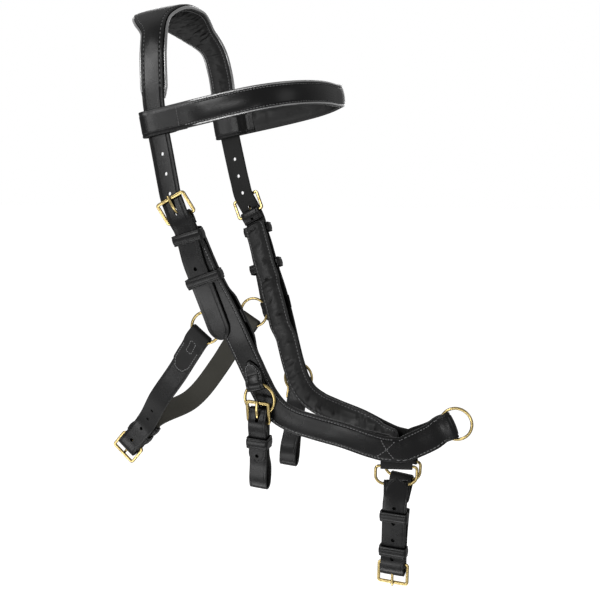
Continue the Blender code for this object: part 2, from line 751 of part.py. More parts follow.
def keeper_on(name, route, distance, width, low, high, band=KEEPER_BAND, pair=False):
    """Keeper round a strap, between levels measured from the strap's middle."""
    hold = seat_on(route, distance)
    shell = keeper_shell(hold, width, low, high, band)
    add = add_pair if pair else add_piece
    add(name, shell, BLACK_LEATHER, origin=hold.origin)


def build_jowl_strap(cheek):
    """Jowl rings in their tabs, and the strap that joins them under the jaw."""
    centre = right(JOWL_RING)
    add_pair("jowl_ring", ring_shell(centre, (0, 1, 0)), BRASS, origin=centre)

    tab_width = 14 * MM
    far, bend = ring_fold(tab_width, TAB_THICK)
    forward = Vector((math.cos(math.radians(19.8)), 0, math.sin(math.radians(19.8))))
    seat = Seat(centre, forward, (0, -1, 0))
    outer = -(STRAP_THICK / 2 + STITCHED_GAP + TAB_THICK / 2 + 0.4 * MM)
    inner = outer - TAB_THICK - STITCHED_GAP - 0.1 * MM
    sewn = [seat.point(far + reach * MM, 0, 0) for reach in (30, 22, 15, 11)]
    stations = on_strap(cheek, sewn, outer)
    path = [(far + 3.5 * MM, bend)] + arc(far, 0, bend, 90, 270, 6) + [(far + 3.5 * MM, -bend)]
    stations += flat_stations(seat, path, -seat.across)
    sewn = [seat.point(far + reach * MM, 0, 0) for reach in (11, 15, 22, 28)]
    stations += on_strap(cheek, sewn, inner, turned=True)
    add_pair("jowl_tab", strap(Route(stations), tab_width, TAB_THICK, longest=9 * MM),
             BLACK_LEATHER)

    # The buckle end hangs from the left ring and the billet from the right ring.
    slope = JOWL_SLOPE
    seat = Seat(right(JOWL_BUCKLE), (-math.cos(slope), 0, -math.sin(slope)), (0, 1, 0))
    step = STRAP_THICK + STITCHED_GAP
    level = step / 2
    tail = level + step + 0.1 * MM
    stations = flat_stations(seat, chape_points(0.0, STRAP_THICK, 15 * MM, level), -seat.across)
    stations += flat_stations(seat, [(-18 * MM, level + 0.3 * MM), (-32 * MM, level + 3.0 * MM)],
                              -seat.across)
    path, left_seat = ring_end(mirror_point(centre), math.radians(31), 1, 0.36, 30 * MM)
    for place in ((-3, 27, -399), (24, 42, -362)):
        stations.append((Vector(place) * MM, -left_seat.across))
    stations += flat_stations(left_seat, path, -left_seat.across)
    buckle_route = Route(stations)
    add_piece("jowl_buckle_strap", strap(buckle_route, JOWL_WIDTH, STRAP_THICK, longest=12 * MM),
              FLESH_LEATHER, [slot_shell(seat, 0.0, STRAP_THICK)])

    low = -(level + STRAP_THICK + KEEPER_THICK + 4 * GAP)
    turn = -low
    over = [seat.point(s * MM, 0, level) for s in (-46, -32, -18)]
    stations = on_strap(buckle_route, over, step + 0.2 * MM)
    path = [(-9 * MM, tail + 0.5 * MM), (-3 * MM, turn - 0.3 * MM)]
    path += arc(4.6 * MM, 0, turn, 90, -90, 8)
    path += [(-8 * MM, low), (-22 * MM, low)]
    stations += flat_stations(seat, path, seat.across)
    stations.append((Vector((-9 * MM, -34 * MM, -385 * MM)), seat.across))
    path, right_seat = ring_end(centre, math.radians(38.5), -1, 0.27, 50 * MM)
    stations += flat_stations(right_seat, path, -right_seat.across)
    billet_route = Route(stations)
    apex = billet_route.nearest(seat.point(4.6 * MM + turn, 0, 1.8 * MM))
    cutters = [hole_shell(seat_on(billet_route, apex), length=9 * MM, depth=4 * MM)]
    ahead = billet_route.nearest(seat.point(-4 * MM, 0, low))
    for k in range(4):
        cutters.append(hole_shell(seat_on(billet_route, ahead + k * 18.5 * MM), depth=2.2 * MM))
    add_piece("jowl_billet", strap(billet_route, JOWL_WIDTH, STRAP_THICK, longest=16 * MM,
                                   tip=12 * MM, heel=12 * MM, pointed=True), BLACK_LEATHER, cutters)

    free_n = 0.4 * MM
    pivot = seat.point(0, 0, 0)
    add_piece("jowl_buckle", buckle_shell(seat, JOWL_WIDTH, 0.0, free_n), BRASS, origin=pivot)
    add_piece("jowl_tongue", tongue_shell(seat, 0.0, folded_reach(free_n)), BRASS, origin=pivot)
    half = STRAP_THICK / 2
    spot = buckle_route.nearest(seat.point(-12.5 * MM, 0, level))
    keeper_on("jowl_fixed_keeper", buckle_route, spot, JOWL_WIDTH + 0.6 * MM,
              -half - step - 0.4 * MM, half + step + 1.3 * MM)
    spot = buckle_route.nearest(seat.point(-26 * MM, 0, level))
    keeper_on("jowl_running_keeper", buckle_route, spot, JOWL_WIDTH + 0.6 * MM,
              -half - 0.5 * MM, half + step + 1.3 * MM)


def folded_reach(free_n):
    """Tongue path through a billet that turns back inside its buckle."""
    rest = free_n + BUCKLE_WIRE + GAP + TONGUE_WIRE
    return [(6 * MM, 2.7 * MM), (12 * MM, 2.8 * MM), (BUCKLE_LENGTH - 1 * MM, rest),
            (BUCKLE_LENGTH + 2.6 * MM, rest)]


def build_bit_straps(cheek):
    """Bit tabs sewn on the cheeks, bit rings, and the straps that hold the bit."""
    centre = right(BIT_RING)
    up = Vector((math.sin(BIT_HANG), -math.sin(BIT_TILT), math.cos(BIT_TILT))).normalized()
    outward = Vector((0, -math.cos(BIT_TILT), -math.sin(BIT_TILT)))
    add_pair("bit_ring", ring_shell(centre, outward), BRASS, origin=centre)

    far, bend = ring_fold(BIT_WIDTH, TAB_THICK)
    lean = math.radians(18)
    seat = Seat(centre, up * math.cos(lean) - Vector((math.sin(lean), 0, 0)), outward)
    inner = STRAP_THICK / 2 + STITCHED_GAP + TAB_THICK / 2 + 0.1 * MM
    outer = inner + TAB_THICK + STITCHED_GAP + 0.1 * MM
    sewn = [seat.point(far + reach * MM, 0, 0) for reach in (27, 21, 16.5, 13)]
    stations = on_strap(cheek, sewn, outer)
    path = [(far + 4 * MM, bend)] + arc(far, 0, bend, 90, 270, 6) + [(far + 4 * MM, -bend)]
    stations += flat_stations(seat, path, -seat.across)
    sewn = [seat.point(far + reach * MM, 0, 0) for reach in (11, 14.5, 19)]
    stations += on_strap(cheek, sewn, inner, turned=True)
    add_pair("bit_tab", strap(Route(stations), BIT_WIDTH, TAB_THICK, longest=9 * MM,
                              heel=14 * MM, pointed=True), BLACK_LEATHER)

    fold, bend = ring_fold(BIT_WIDTH, LIGHT_THICK)
    pivot_s, pivot_n = 23 * MM, 1.0 * MM
    bar = Seat(centre - up * pivot_s, up, outward)
    loop = BUCKLE_WIRE + GAP + LIGHT_THICK / 2
    step = LIGHT_THICK + STITCHED_GAP
    front = 1.5 * MM
    back = pivot_n - loop - step - 0.3 * MM
    over = pivot_n + loop + LIGHT_THICK + 2.2 * GAP
    bottom = pivot_s - 94 * MM
    tail = front + step

    path = chape_points(pivot_n, LIGHT_THICK, 14 * MM, front)
    path += [(-22 * MM, front), (-44 * MM, front - 0.3 * MM)]
    path += arc(bottom + 6.5 * MM, front - 6 * MM, 6 * MM, 90, 270, 6)
    path += [(bottom + 21 * MM, front - 12.6 * MM), (-34 * MM, back - 0.9 * MM),
             (-22 * MM, back - 0.2 * MM), (0, back), (pivot_s - fold - 3.4 * MM, -bend - 0.3 * MM)]
    path += arc(pivot_s - fold, 0, bend, -90, 90, 6)
    path += [(7.6 * MM, over - 2.4 * MM), (4.2 * MM, over - 0.8 * MM), (0, over + 0.15 * MM),
             (-6 * MM, over - 0.1 * MM),
             (-15 * MM, tail + 0.7 * MM), (-22 * MM, tail + 0.1 * MM), (-41 * MM, tail)]
    route = Route(flat_stations(bar, path, -bar.across))
    half = route.length / 2
    late = route.part(half, route.length)
    crossing = half + late.nearest(bar.point(5.3 * MM, 0, over - 1.4 * MM))
    spare = half + late.nearest(bar.point(-34 * MM, 0, tail))
    cutters = [slot_shell(bar, pivot_n, LIGHT_THICK),
               hole_shell(seat_on(route, crossing), length=8.8 * MM, depth=2.7 * MM),
               hole_shell(seat_on(route, spare), depth=1.25 * MM)]
    add_pair("bit_strap", strap(route, BIT_WIDTH, LIGHT_THICK, longest=14 * MM, tip=9 * MM),
             BLACK_LEATHER, cutters)

    free_n = 5.0 * MM
    length = 21 * MM
    pivot = bar.point(0, 0, pivot_n)
    shell = buckle_shell(bar, BIT_WIDTH, pivot_n, free_n, length, play=BIT_SIDE)
    add_pair("bit_buckle", shell, BRASS, origin=pivot)
    rest = free_n + BUCKLE_WIRE + GAP + TONGUE_WIRE
    reach = [(3.3 * MM, 3.6 * MM), (6.4 * MM, 6.2 * MM), (11 * MM, rest), (length, rest),
             (length + 2.2 * MM, rest)]
    add_pair("bit_tongue", tongue_shell(bar, pivot_n, reach), BRASS, origin=pivot)
    hold = Seat(bar.point(-21 * MM, 0, 0), up, outward)
    shell = keeper_shell(hold, BIT_WIDTH + 0.6 * MM, back - 1.4 * MM - LIGHT_THICK / 2,
                         tail + LIGHT_THICK / 2 + 0.8 * MM, band=11 * MM)
    add_pair("bit_keeper", shell, BLACK_LEATHER, origin=hold.origin)


def build_noseband(cheek):
    """Front nose strap between the two corners, and the ring in its bend."""
    end = cheek.frame(cheek.length)
    apex = Vector(NOSE_APEX)
    rise = math.radians(24)
    ahead = Vector((math.cos(rise), 0, math.sin(rise)))
    above = Vector((-math.sin(rise), 0, math.cos(rise)))
    bend = RING_WIRE + 2 * GAP + STRAP_THICK / 2
    half = [(end[0] + end[1] * 0.45 * MM, -end[2]), (end[0] + end[1] * 5 * MM, -end[2])]
    places = right_points([(251, 14.0, -417.6), (259.5, 11.0, -413.5), (271, 7.2, -407.0)])
    half += list(zip(places, (Vector((-0.15, 0, 1)), Vector((-0.3, 0, 1)), above)))
    seat = Seat(apex, ahead, (0, -1, 0))
    half += flat_stations(seat, [(-8 * MM, bend + 0.7 * MM), (-3 * MM, bend)], above)
    turn = flat_stations(seat, arc(0, 0, bend, 90, 0, 3), above)
    half += turn[:-1]
    other = [(mirror_point(place), Vector((across.x, -across.y, across.z)))
             for place, across in reversed(half)]
    route = Route(half + [turn[-1]] + other)
    add_piece("nose_strap", strap(route, NOSE_WIDTH, STRAP_THICK, longest=14 * MM), BLACK_LEATHER)

    half_width = NOSE_WIDTH / 2
    chord = math.sqrt(RING_RADIUS ** 2 - half_width ** 2)
    slant = RING_WIRE * (RING_RADIUS / chord - 1)
    centre = apex + ahead * (chord - slant)
    add_piece("nose_ring", ring_shell(centre, (0, 1, 0)), BRASS, origin=centre)


def chin_ring_seat(cheek):
    """Local axes of the right chin ring: s down, across along the noseband."""
    place, along, _, outward = cheek.frame(cheek.length)
    level = Vector((along.x, along.y, 0)).normalized()
    top_wire = place + level * 0.5 * MM - Vector((level.y, -level.x, 0)) * 4.5 * MM
    top_wire.z = CHIN_WIRE_HEIGHT
    hang = (right(CHIN_BUCKLE) - top_wire).normalized()
    return Seat(top_wire, hang, hang.cross(level)), level


def build_chin_strap(cheek):
    """Chin rings in their tabs, and the strap that joins them under the chin."""
    seat, level_way = chin_ring_seat(cheek)
    half_length, half_height = CHIN_RING_LENGTH / 2, CHIN_RING_HEIGHT / 2
    points = []
    for low, high in zip(round_rectangle(half_height, half_length, half_height - 0.4 * MM, 5),
                         round_rectangle(half_height, half_length, CHIN_RING_CORNER, 5)):
        s, w = low if low[0] > 0 else high
        points.append(seat.point(s + half_height, w, 0))
    shell = rod(points, seat.outward, RING_WIRE, RING_WIRE, 8, True)
    top_wire = seat.point(0, 0, 0)
    low_wire = seat.point(2 * half_height, 0, 0)
    add_pair("chin_ring", shell, BRASS, origin=top_wire)

    bend = RING_WIRE + GAP + TAB_THICK / 2
    side = Vector((level_way.y, -level_way.x, 0))
    upper = Seat(top_wire, Vector((0, 0, 1)), side)
    gap = (TAB_THICK + STITCHED_GAP) / 2 + 0.05 * MM
    middle = 0.55 * MM
    path = [(19 * MM, middle + gap), (11 * MM, middle + gap), (7 * MM, middle + gap + 0.05 * MM)]
    path += arc(0, 0, bend, 70, 290, 7)
    path += [(7 * MM, middle - gap - 0.05 * MM), (11 * MM, middle - gap), (17 * MM, middle - gap)]
    tab = Route(flat_stations(upper, path, -seat.across))
    add_pair("chin_tab", strap(tab, CHIN_TAB_WIDTH, TAB_THICK, longest=9 * MM), BLACK_LEATHER)

    # The buckle end hangs from the right ring and the billet from the left ring.
    place = right(CHIN_BUCKLE)
    bar = Seat(place, place - low_wire, (0, -1, 0))
    reach = (place - low_wire).length
    step = LIGHT_THICK + STITCHED_GAP
    level = step / 2
    tail = level + step + 0.25 * MM
    bend = RING_WIRE + GAP + LIGHT_THICK / 2

    def turned_station(s, n):
        """Place and across direction of a strap that turns to lie along the ring's wire."""
        outward = bar.outward.lerp(seat.outward, blend(-s, 0, 1, 54 * MM, reach - 7 * MM))
        hold = Seat(bar.point(s, 0, 0), bar.along, outward)
        return hold.point(0, 0, n), hold.across

    def turned_stations(path, sign):
        return [(spot, across * sign) for spot, across in (turned_station(s, n) for s, n in path)]

    path = chape_points(0.0, LIGHT_THICK, 15 * MM, level)
    path += [(-24 * MM, level), (-44 * MM, level), (-56 * MM, level), (-65 * MM, level + 0.3 * MM),
             (6 * MM - reach, bend * 0.9)]
    path += arc(-reach, 0, bend, 90, 270, 6)
    path += [(5 * MM - reach, -bend * 0.95), (10 * MM - reach, level - step),
             (15 * MM - reach, level - step)]
    route = Route(turned_stations(path, -1))
    add_piece("chin_buckle_strap", strap(route, CHIN_WIDTH, LIGHT_THICK, longest=7 * MM),
              BLACK_LEATHER, [slot_shell(bar, 0.0, LIGHT_THICK)])

    low = -(level + LIGHT_THICK + KEEPER_THICK + 4 * GAP)
    turn = -low
    above = bend + step + 0.3 * MM
    path = [(-8 * MM - reach, above + 0.3 * MM), (-reach, above), (8 * MM - reach, above - 0.1 * MM),
            (19 * MM - reach, tail + 1.2 * MM), (-50 * MM, tail + 0.1 * MM), (-24 * MM, tail),
            (-9 * MM, tail + 0.3 * MM), (-3 * MM, turn - 0.3 * MM)]
    path += arc(4.6 * MM, 0, turn, 90, -90, 8)
    path += [(-8 * MM, low), (-22 * MM, low)]
    stations = turned_stations(path, 1)
    left_wire = mirror_point(low_wire)
    left_across = Vector((-seat.across.x, seat.across.y, -seat.across.z))
    waist = bar.point(-48 * MM, 0, low) + Vector((0, 5.5 * MM, 0))
    stations.append((waist, bar.across))
    rise = left_wire - waist
    left_top = Seat(left_wire, rise - left_across * rise.dot(left_across),
                    mirror_point(seat.outward))
    path = [(-20 * MM, level), (-7 * MM, bend * 0.95)] + arc(0, 0, bend, 90, -90, 6)
    path += [(-7 * MM, -bend * 0.95), (-12 * MM, level - step - 0.1 * MM),
             (-19 * MM, level - step - 0.1 * MM)]
    stations += flat_stations(left_top, path, left_across)
    route = Route(stations)
    apex = route.nearest(bar.point(4.6 * MM + turn, 0, 1.8 * MM))
    cutters = [hole_shell(seat_on(route, apex), length=9 * MM, depth=4 * MM)]
    for s in (-6, -26, -43, -60):
        cutters.append(hole_shell(seat_on(route, route.nearest(bar.point(s * MM, 0, tail))),
                                  depth=2 * MM))
    add_piece("chin_billet", strap(route, CHIN_WIDTH, LIGHT_THICK, longest=7 * MM,
                                   heel=12 * MM, pointed=True), BLACK_LEATHER, cutters)

    free_n = 0.4 * MM
    add_piece("chin_buckle", buckle_shell(bar, CHIN_WIDTH, 0.0, free_n), BRASS, origin=place)
    add_piece("chin_tongue", tongue_shell(bar, 0.0, folded_reach(free_n)), BRASS, origin=place)
    for name, s in (("chin_fixed_keeper", -14 * MM), ("chin_running_keeper", -50 * MM)):
        hold = Seat(bar.point(s, 0, 0), bar.along, bar.outward)
        deep = step if name == "chin_fixed_keeper" else 0.0
        floor = level - LIGHT_THICK / 2 - deep - 0.1 * MM
        room = 0.7 * MM if name == "chin_fixed_keeper" else 1.1 * MM
        shell = keeper_shell(hold, CHIN_WIDTH + 0.6 * MM, floor, tail + LIGHT_THICK / 2 + room)
        add_piece(name, shell, BLACK_LEATHER, origin=hold.origin)


build()
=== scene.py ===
"""Looks of an anatomical bridle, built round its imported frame.

Each strap is lofted along the same centre line as its solid, with rounded and creased
edges, stitches and punched holes. Pads, wires and rings replace their plain solids.
Units are metres: +X towards the nose, +Y towards the horse's left, +Z up.
"""
from __future__ import annotations

import json
import logging
import math
import random
from collections.abc import Callable, Sequence
from dataclasses import dataclass, field
from enum import Enum

import bmesh
import bpy
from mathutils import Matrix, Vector, noise

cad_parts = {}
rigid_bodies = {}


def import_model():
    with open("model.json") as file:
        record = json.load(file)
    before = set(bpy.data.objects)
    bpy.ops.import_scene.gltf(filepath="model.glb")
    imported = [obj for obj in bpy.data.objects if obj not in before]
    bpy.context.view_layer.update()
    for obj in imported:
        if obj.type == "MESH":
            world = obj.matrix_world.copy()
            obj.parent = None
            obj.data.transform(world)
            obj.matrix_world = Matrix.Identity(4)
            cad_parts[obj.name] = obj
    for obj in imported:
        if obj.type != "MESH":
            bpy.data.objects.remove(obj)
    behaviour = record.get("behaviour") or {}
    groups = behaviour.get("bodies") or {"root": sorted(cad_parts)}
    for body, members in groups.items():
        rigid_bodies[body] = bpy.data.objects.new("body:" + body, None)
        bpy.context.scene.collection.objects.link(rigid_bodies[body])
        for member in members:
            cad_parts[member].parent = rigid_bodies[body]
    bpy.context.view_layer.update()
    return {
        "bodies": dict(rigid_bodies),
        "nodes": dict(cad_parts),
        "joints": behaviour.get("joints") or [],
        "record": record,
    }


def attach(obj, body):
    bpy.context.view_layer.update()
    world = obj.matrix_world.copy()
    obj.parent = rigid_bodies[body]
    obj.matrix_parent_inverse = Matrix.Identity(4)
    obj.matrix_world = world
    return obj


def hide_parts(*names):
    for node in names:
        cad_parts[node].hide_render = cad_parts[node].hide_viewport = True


LOG = logging.getLogger("bridle")
MM = 0.001
# step of centre lines, reach of rubbed edges, closest cross sections
FINE = 0.7 * MM
RUB = 1.4 * MM
CLOSEST = 0.12 * MM
# angle of a sharp edge, and the bend at which a strap gets a cross section more
SHARP = math.radians(55)
BEND_STEP = math.radians(9)
LINING_SEEDS = (28, 30)
RIGHT_SIDE = Vector((0, -1, 0))
# places of points across a section, of sections at a shaped end and along a stitch
CREASE_OFFSETS = (-0.9, -0.5, -0.2, 0.1, 0.4, 0.8, 2.4)
INNER_SHARES = (1, 0.93, 0.84, 0.72, 0.58, 0.44, 0.3, 0.15)
END_SHARES = (1, 0.86, 0.72, 0.58, 0.45, 0.33, 0.22, 0.13, 0.06, 0.02)
STITCH_RINGS = ((0, 0.35, -0.25), (0.16, 0.85, 0.05), (0.5, 1.0, 0.25), (0.84, 0.85, 0.05),
                (1, 0.35, -0.25))
Rule = Callable[[float], float]
Height = Callable[[float, float], float]
Station = tuple[Vector, Vector]
Pair = tuple[float, float]
Triple = tuple[float, float, float]
Mark = tuple[float, float, float, float]
Path = Sequence[Pair]


class End(Enum):
    """Shape of a strap's end."""

    ROUND = "round"
    POINTED = "pointed"


class Kind(Enum):
    """What a piece is made of: end of its name, finish, and material slot of the record."""

    LEATHER = ("leather", "leather", "black_leather")
    BARE = ("leather", "bare", "flesh_side_leather")
    LINING = ("lining", "lining", "padding_leather")
    WIRE = ("wire", "brass", "brass")
    SEAM = ("stitches", "thread", "black_leather")
    PAD_SEAM = ("stitches", "thread", "padding_leather")
    RIMS = ("rolled_rims", "rolled", "padding_leather")
    EDGES = ("edge_lines", "rolled", "black_leather")


def blend(value: float, low: float, high: float, start: float, end: float) -> float:
    """Change smoothly from low to high while value goes from start to end."""
    share = min(max((value - start) / (end - start), 0.0), 1.0)
    share = share * share * (3 - 2 * share)
    return low + (high - low) * share


def right(place: Sequence[float]) -> Vector:
    """Place on the right side from forward, sideways and up."""
    x, y, z = place
    return Vector((x, -y, z))


def right_points(points: Sequence[Sequence[float]]) -> list[Vector]:
    """Places on the right side from forward, sideways and up in millimetres."""
    return [right((x * MM, y * MM, z * MM)) for x, y, z in points]


def mirror_point(point: Vector) -> Vector:
    """The same point on the other side of the head."""
    return Vector((point.x, -point.y, point.z))


def other_half(half: Sequence[Station]) -> list[Station]:
    """Stations of a right half on the other side of the head, in reverse."""
    return [(mirror_point(place), mirror_point(across)) for place, across in reversed(half)]


def at(rule: float | Rule, distance: float) -> float:
    """Value of a rule at a distance, or the number itself."""
    return rule(distance) if callable(rule) else rule


def turns(count: int, shift: float = 0.0) -> list[float]:
    """Angles of equal steps round a circle."""
    return [2 * math.pi * (k + shift) / count for k in range(count)]


def steps_between(span: Pair, count: int) -> list[float]:
    """Distances of equal steps from one end of a span to the other."""
    return [span[0] + (span[1] - span[0]) * k / count for k in range(count + 1)]


def smooth_line(values: Sequence[Sequence[Vector]]) -> list[list[Vector]]:
    """Run a cubic curve through vectors.

    Args:
        values: Stations, each a place followed by vectors that change along with it.

    Returns:
        The stations of the curve, about FINE apart.
    """
    count = len(values)
    chords = [max((values[i + 1][0] - values[i][0]).length, 1e-9) for i in range(count - 1)]
    slopes = []
    for i in range(count):
        if i in (0, count - 1):
            k = min(i, count - 2)
            slopes.append([(b - a) / chords[k] for a, b in zip(values[k], values[k + 1])])
        else:
            before, after = chords[i - 1], chords[i]
            both = before + after
            slopes.append([((c - b) / after * before + (b - a) / before * after) / both
                           for a, b, c in zip(values[i - 1], values[i], values[i + 1])])
    line = []
    for i in range(count - 1):
        span, j = chords[i], i + 1
        steps = max(2, math.ceil(span / FINE))
        for k in range(steps + (i == count - 2)):
            t = k / steps
            h00, h10 = 2 * t**3 - 3 * t**2 + 1, t**3 - 2 * t**2 + t
            h01, h11 = -2 * t**3 + 3 * t**2, t**3 - t**2
            line.append([a * h00 + p * (h10 * span) + b * h01 + q * (h11 * span)
                         for a, b, p, q in zip(values[i], values[j], slopes[i], slopes[j])])
    return line


class Route:
    """A smooth centre line of a strap, with the direction across the strap at every point."""

    def __init__(self, stations: Sequence[Station]) -> None:
        """Run the line through the stations.

        Args:
            stations: Places with the direction across the strap at each.
        """
        line = smooth_line([[Vector(place), Vector(across)] for place, across in stations])
        self.places = [place for place, _ in line]
        self.acrosses = [across for _, across in line]
        self.travel = [0.0]
        for a, b in zip(self.places, self.places[1:]):
            self.travel.append(self.travel[-1] + (b - a).length)
        self.length = self.travel[-1]

    def spot(self, distance: float) -> Station:
        """Place and across direction at a distance from the start.

        Args:
            distance: The distance, held within the route.

        Returns:
            The place and the direction.
        """
        low, high = 0, len(self.travel) - 1
        distance = min(max(distance, 0.0), self.length)
        while high - low > 1:
            middle = (low + high) // 2
            if self.travel[middle] <= distance:
                low = middle
            else:
                high = middle
        share = (distance - self.travel[low]) / max(self.travel[high] - self.travel[low], 1e-12)
        return (self.places[low].lerp(self.places[high], share),
                self.acrosses[low].lerp(self.acrosses[high], share))

    def frame(self, distance: float) -> tuple[Vector, Vector, Vector, Vector]:
        """Place, along, across and outward directions at a distance from the start.

        Args:
            distance: The distance.

        Returns:
            The place and the three directions, square to each other.
        """
        place, across = self.spot(distance)
        ahead, behind = self.spot(distance + FINE)[0], self.spot(distance - FINE)[0]
        along = (ahead - behind).normalized()
        across = (across - along * across.dot(along)).normalized()
        return place, along, across, across.cross(along)

    def point(self, distance: float, across: float, height: float) -> Vector:
        """Place beside and above the centre line."""
        place, _, side, outward = self.frame(distance)
        return place + side * across + outward * height

    def nearest(self, point: Vector, start: float = 0.0) -> float:
        """Distance along the route of the place closest to a point.

        Args:
            point: The point.
            start: Distance at which the search starts.

        Returns:
            The distance from the route's start.
        """
        indices = [i for i, d in enumerate(self.travel) if d >= start]
        return self.travel[min(indices, key=lambda i: (self.places[i] - point).length)]


class Seat:
    """Local axes of a buckle, ring or keeper: s along, w across, n outward."""

    def __init__(self, origin: Vector, along: Vector, outward: Vector) -> None:
        """Set the axes.

        Args:
            origin: Zero point.
            along: Direction of s.
            outward: Direction of n, made square to s.
        """
        self.origin = Vector(origin)
        self.along = Vector(along).normalized()
        outward = Vector(outward)
        self.outward = (outward - self.along * outward.dot(self.along)).normalized()
        self.across = self.along.cross(self.outward)

    def point(self, s: float, w: float, n: float) -> Vector:
        """Place of local coordinates."""
        return self.origin + self.along * s + self.across * w + self.outward * n


def seat_on(route: Route, distance: float) -> Seat:
    """Seat on a route, with s along it."""
    place, along, _, outward = route.frame(distance)
    return Seat(place, along, outward)


def arc(s: float, n: float, radius: float, start: float, end: float,
        steps: int) -> list[Pair]:
    """Points of a circular arc in a seat's s and n plane, angles in degrees from s to n."""
    angles = [math.radians(start + (end - start) * k / steps) for k in range(steps + 1)]
    return [(s + radius * math.cos(a), n + radius * math.sin(a)) for a in angles]


def flat_stations(seat: Seat, points: Path,
                  across: Vector) -> list[Station]:
    """Stations of a strap from points in a seat's s and n plane."""
    return [(seat.point(s, 0, n), across) for s, n in points]


def headings(places: Sequence[Vector]) -> list[Vector]:
    """Direction along a row of places at each of them."""
    last = len(places) - 1
    return [(places[min(i + 1, last)] - places[max(i - 1, 0)]).normalized()
            for i in range(last + 1)]


def side_stations(places: Sequence[Vector]) -> list[Station]:
    """Stations of a strap that lies flat on the right side of the head."""
    return [(place, along.cross(RIGHT_SIDE).normalized())
            for place, along in zip(places, headings(places))]


def on_strap(route: Route, points: Sequence[Vector], height: float,
             turned: bool = False) -> list[Station]:
    """Stations at a height above another strap's middle.

    Args:
        route: The strap below.
        points: Places that the stations stay near.
        height: Height above the middle of the strap below.
        turned: Whether the across direction is turned round.

    Returns:
        The stations.
    """
    places, outs = [], []
    for point in points:
        place, _, _, outward = route.frame(route.nearest(point))
        offset = point - place
        places.append(place + offset - outward * offset.dot(outward) + outward * height)
        outs.append(outward)
    sign = -1 if turned else 1
    return [(place, along.cross(out).normalized() * sign)
            for place, along, out in zip(places, headings(places), outs)]


def round_rectangle(half_a: float, half_b: float, corner: float,
                    steps: int) -> list[Pair]:
    """Points of a rounded rectangle, with one point more in the middle of each side.

    Args:
        half_a: Half of its size along the first axis.
        half_b: Half of its size along the second axis.
        corner: Radius of its corners.
        steps: Points in each corner.

    Returns:
        The points.
    """
    out = []
    for sign_a, sign_b, start in ((1, 1, 0), (-1, 1, 90), (-1, -1, 180), (1, -1, 270)):
        for k in range(steps):
            angle = math.radians(start + 90 * k / (steps - 1))
            out.append((sign_a * (half_a - corner) + corner * math.cos(angle),
                        sign_b * (half_b - corner) + corner * math.sin(angle)))
        middles = {0: (0, half_b), 90: (-half_a, 0), 180: (0, -half_b), 270: (half_a, 0)}
        out.append(middles[start])
    return out


@dataclass
class Shell:
    """Points and faces of a piece, with strap coordinates at every point.

    Attributes:
        points: Places.
        faces: Corner numbers of each face.
        marks: Along, across, nearness to an edge and share of flesh side at each point.
    """

    points: list[Vector] = field(default_factory=list)
    faces: list[tuple[int, ...]] = field(default_factory=list)
    marks: list[Mark] = field(default_factory=list)

    def add(self, other: Shell) -> None:
        """Append another shell.

        Args:
            other: The shell, which stays as it is.
        """
        base = len(self.points)
        self.points += other.points
        self.marks += other.marks
        self.faces += [tuple(base + i for i in face) for face in other.faces]

    def mirrored(self) -> Shell:
        """The same shell on the other side of the head."""
        return Shell([mirror_point(p) for p in self.points],
                     [tuple(reversed(face)) for face in self.faces], list(self.marks))

    @staticmethod
    def joined(rings: Sequence[Sequence[Vector]], marks: Sequence[Sequence[tuple]],
               closed: bool) -> Shell:
        """Join successive rings of points.

        Args:
            rings: Rings of equal length.
            marks: Marks of every point of every ring.
            closed: Whether the last ring meets the first; else both ends are capped.

        Returns:
            The shell.
        """
        size = len(rings[0])
        shell = Shell([p for ring in rings for p in ring], [], [m for row in marks for m in row])
        for i in range(len(rings) if closed else len(rings) - 1):
            j = (i + 1) % len(rings)
            for k in range(size):
                m = (k + 1) % size
                shell.faces.append((i * size + k, i * size + m, j * size + m, j * size + k))
        if not closed:
            shell.faces.append(tuple(range(size - 1, -1, -1)))
            shell.faces.append(tuple((len(rings) - 1) * size + k for k in range(size)))
        return shell


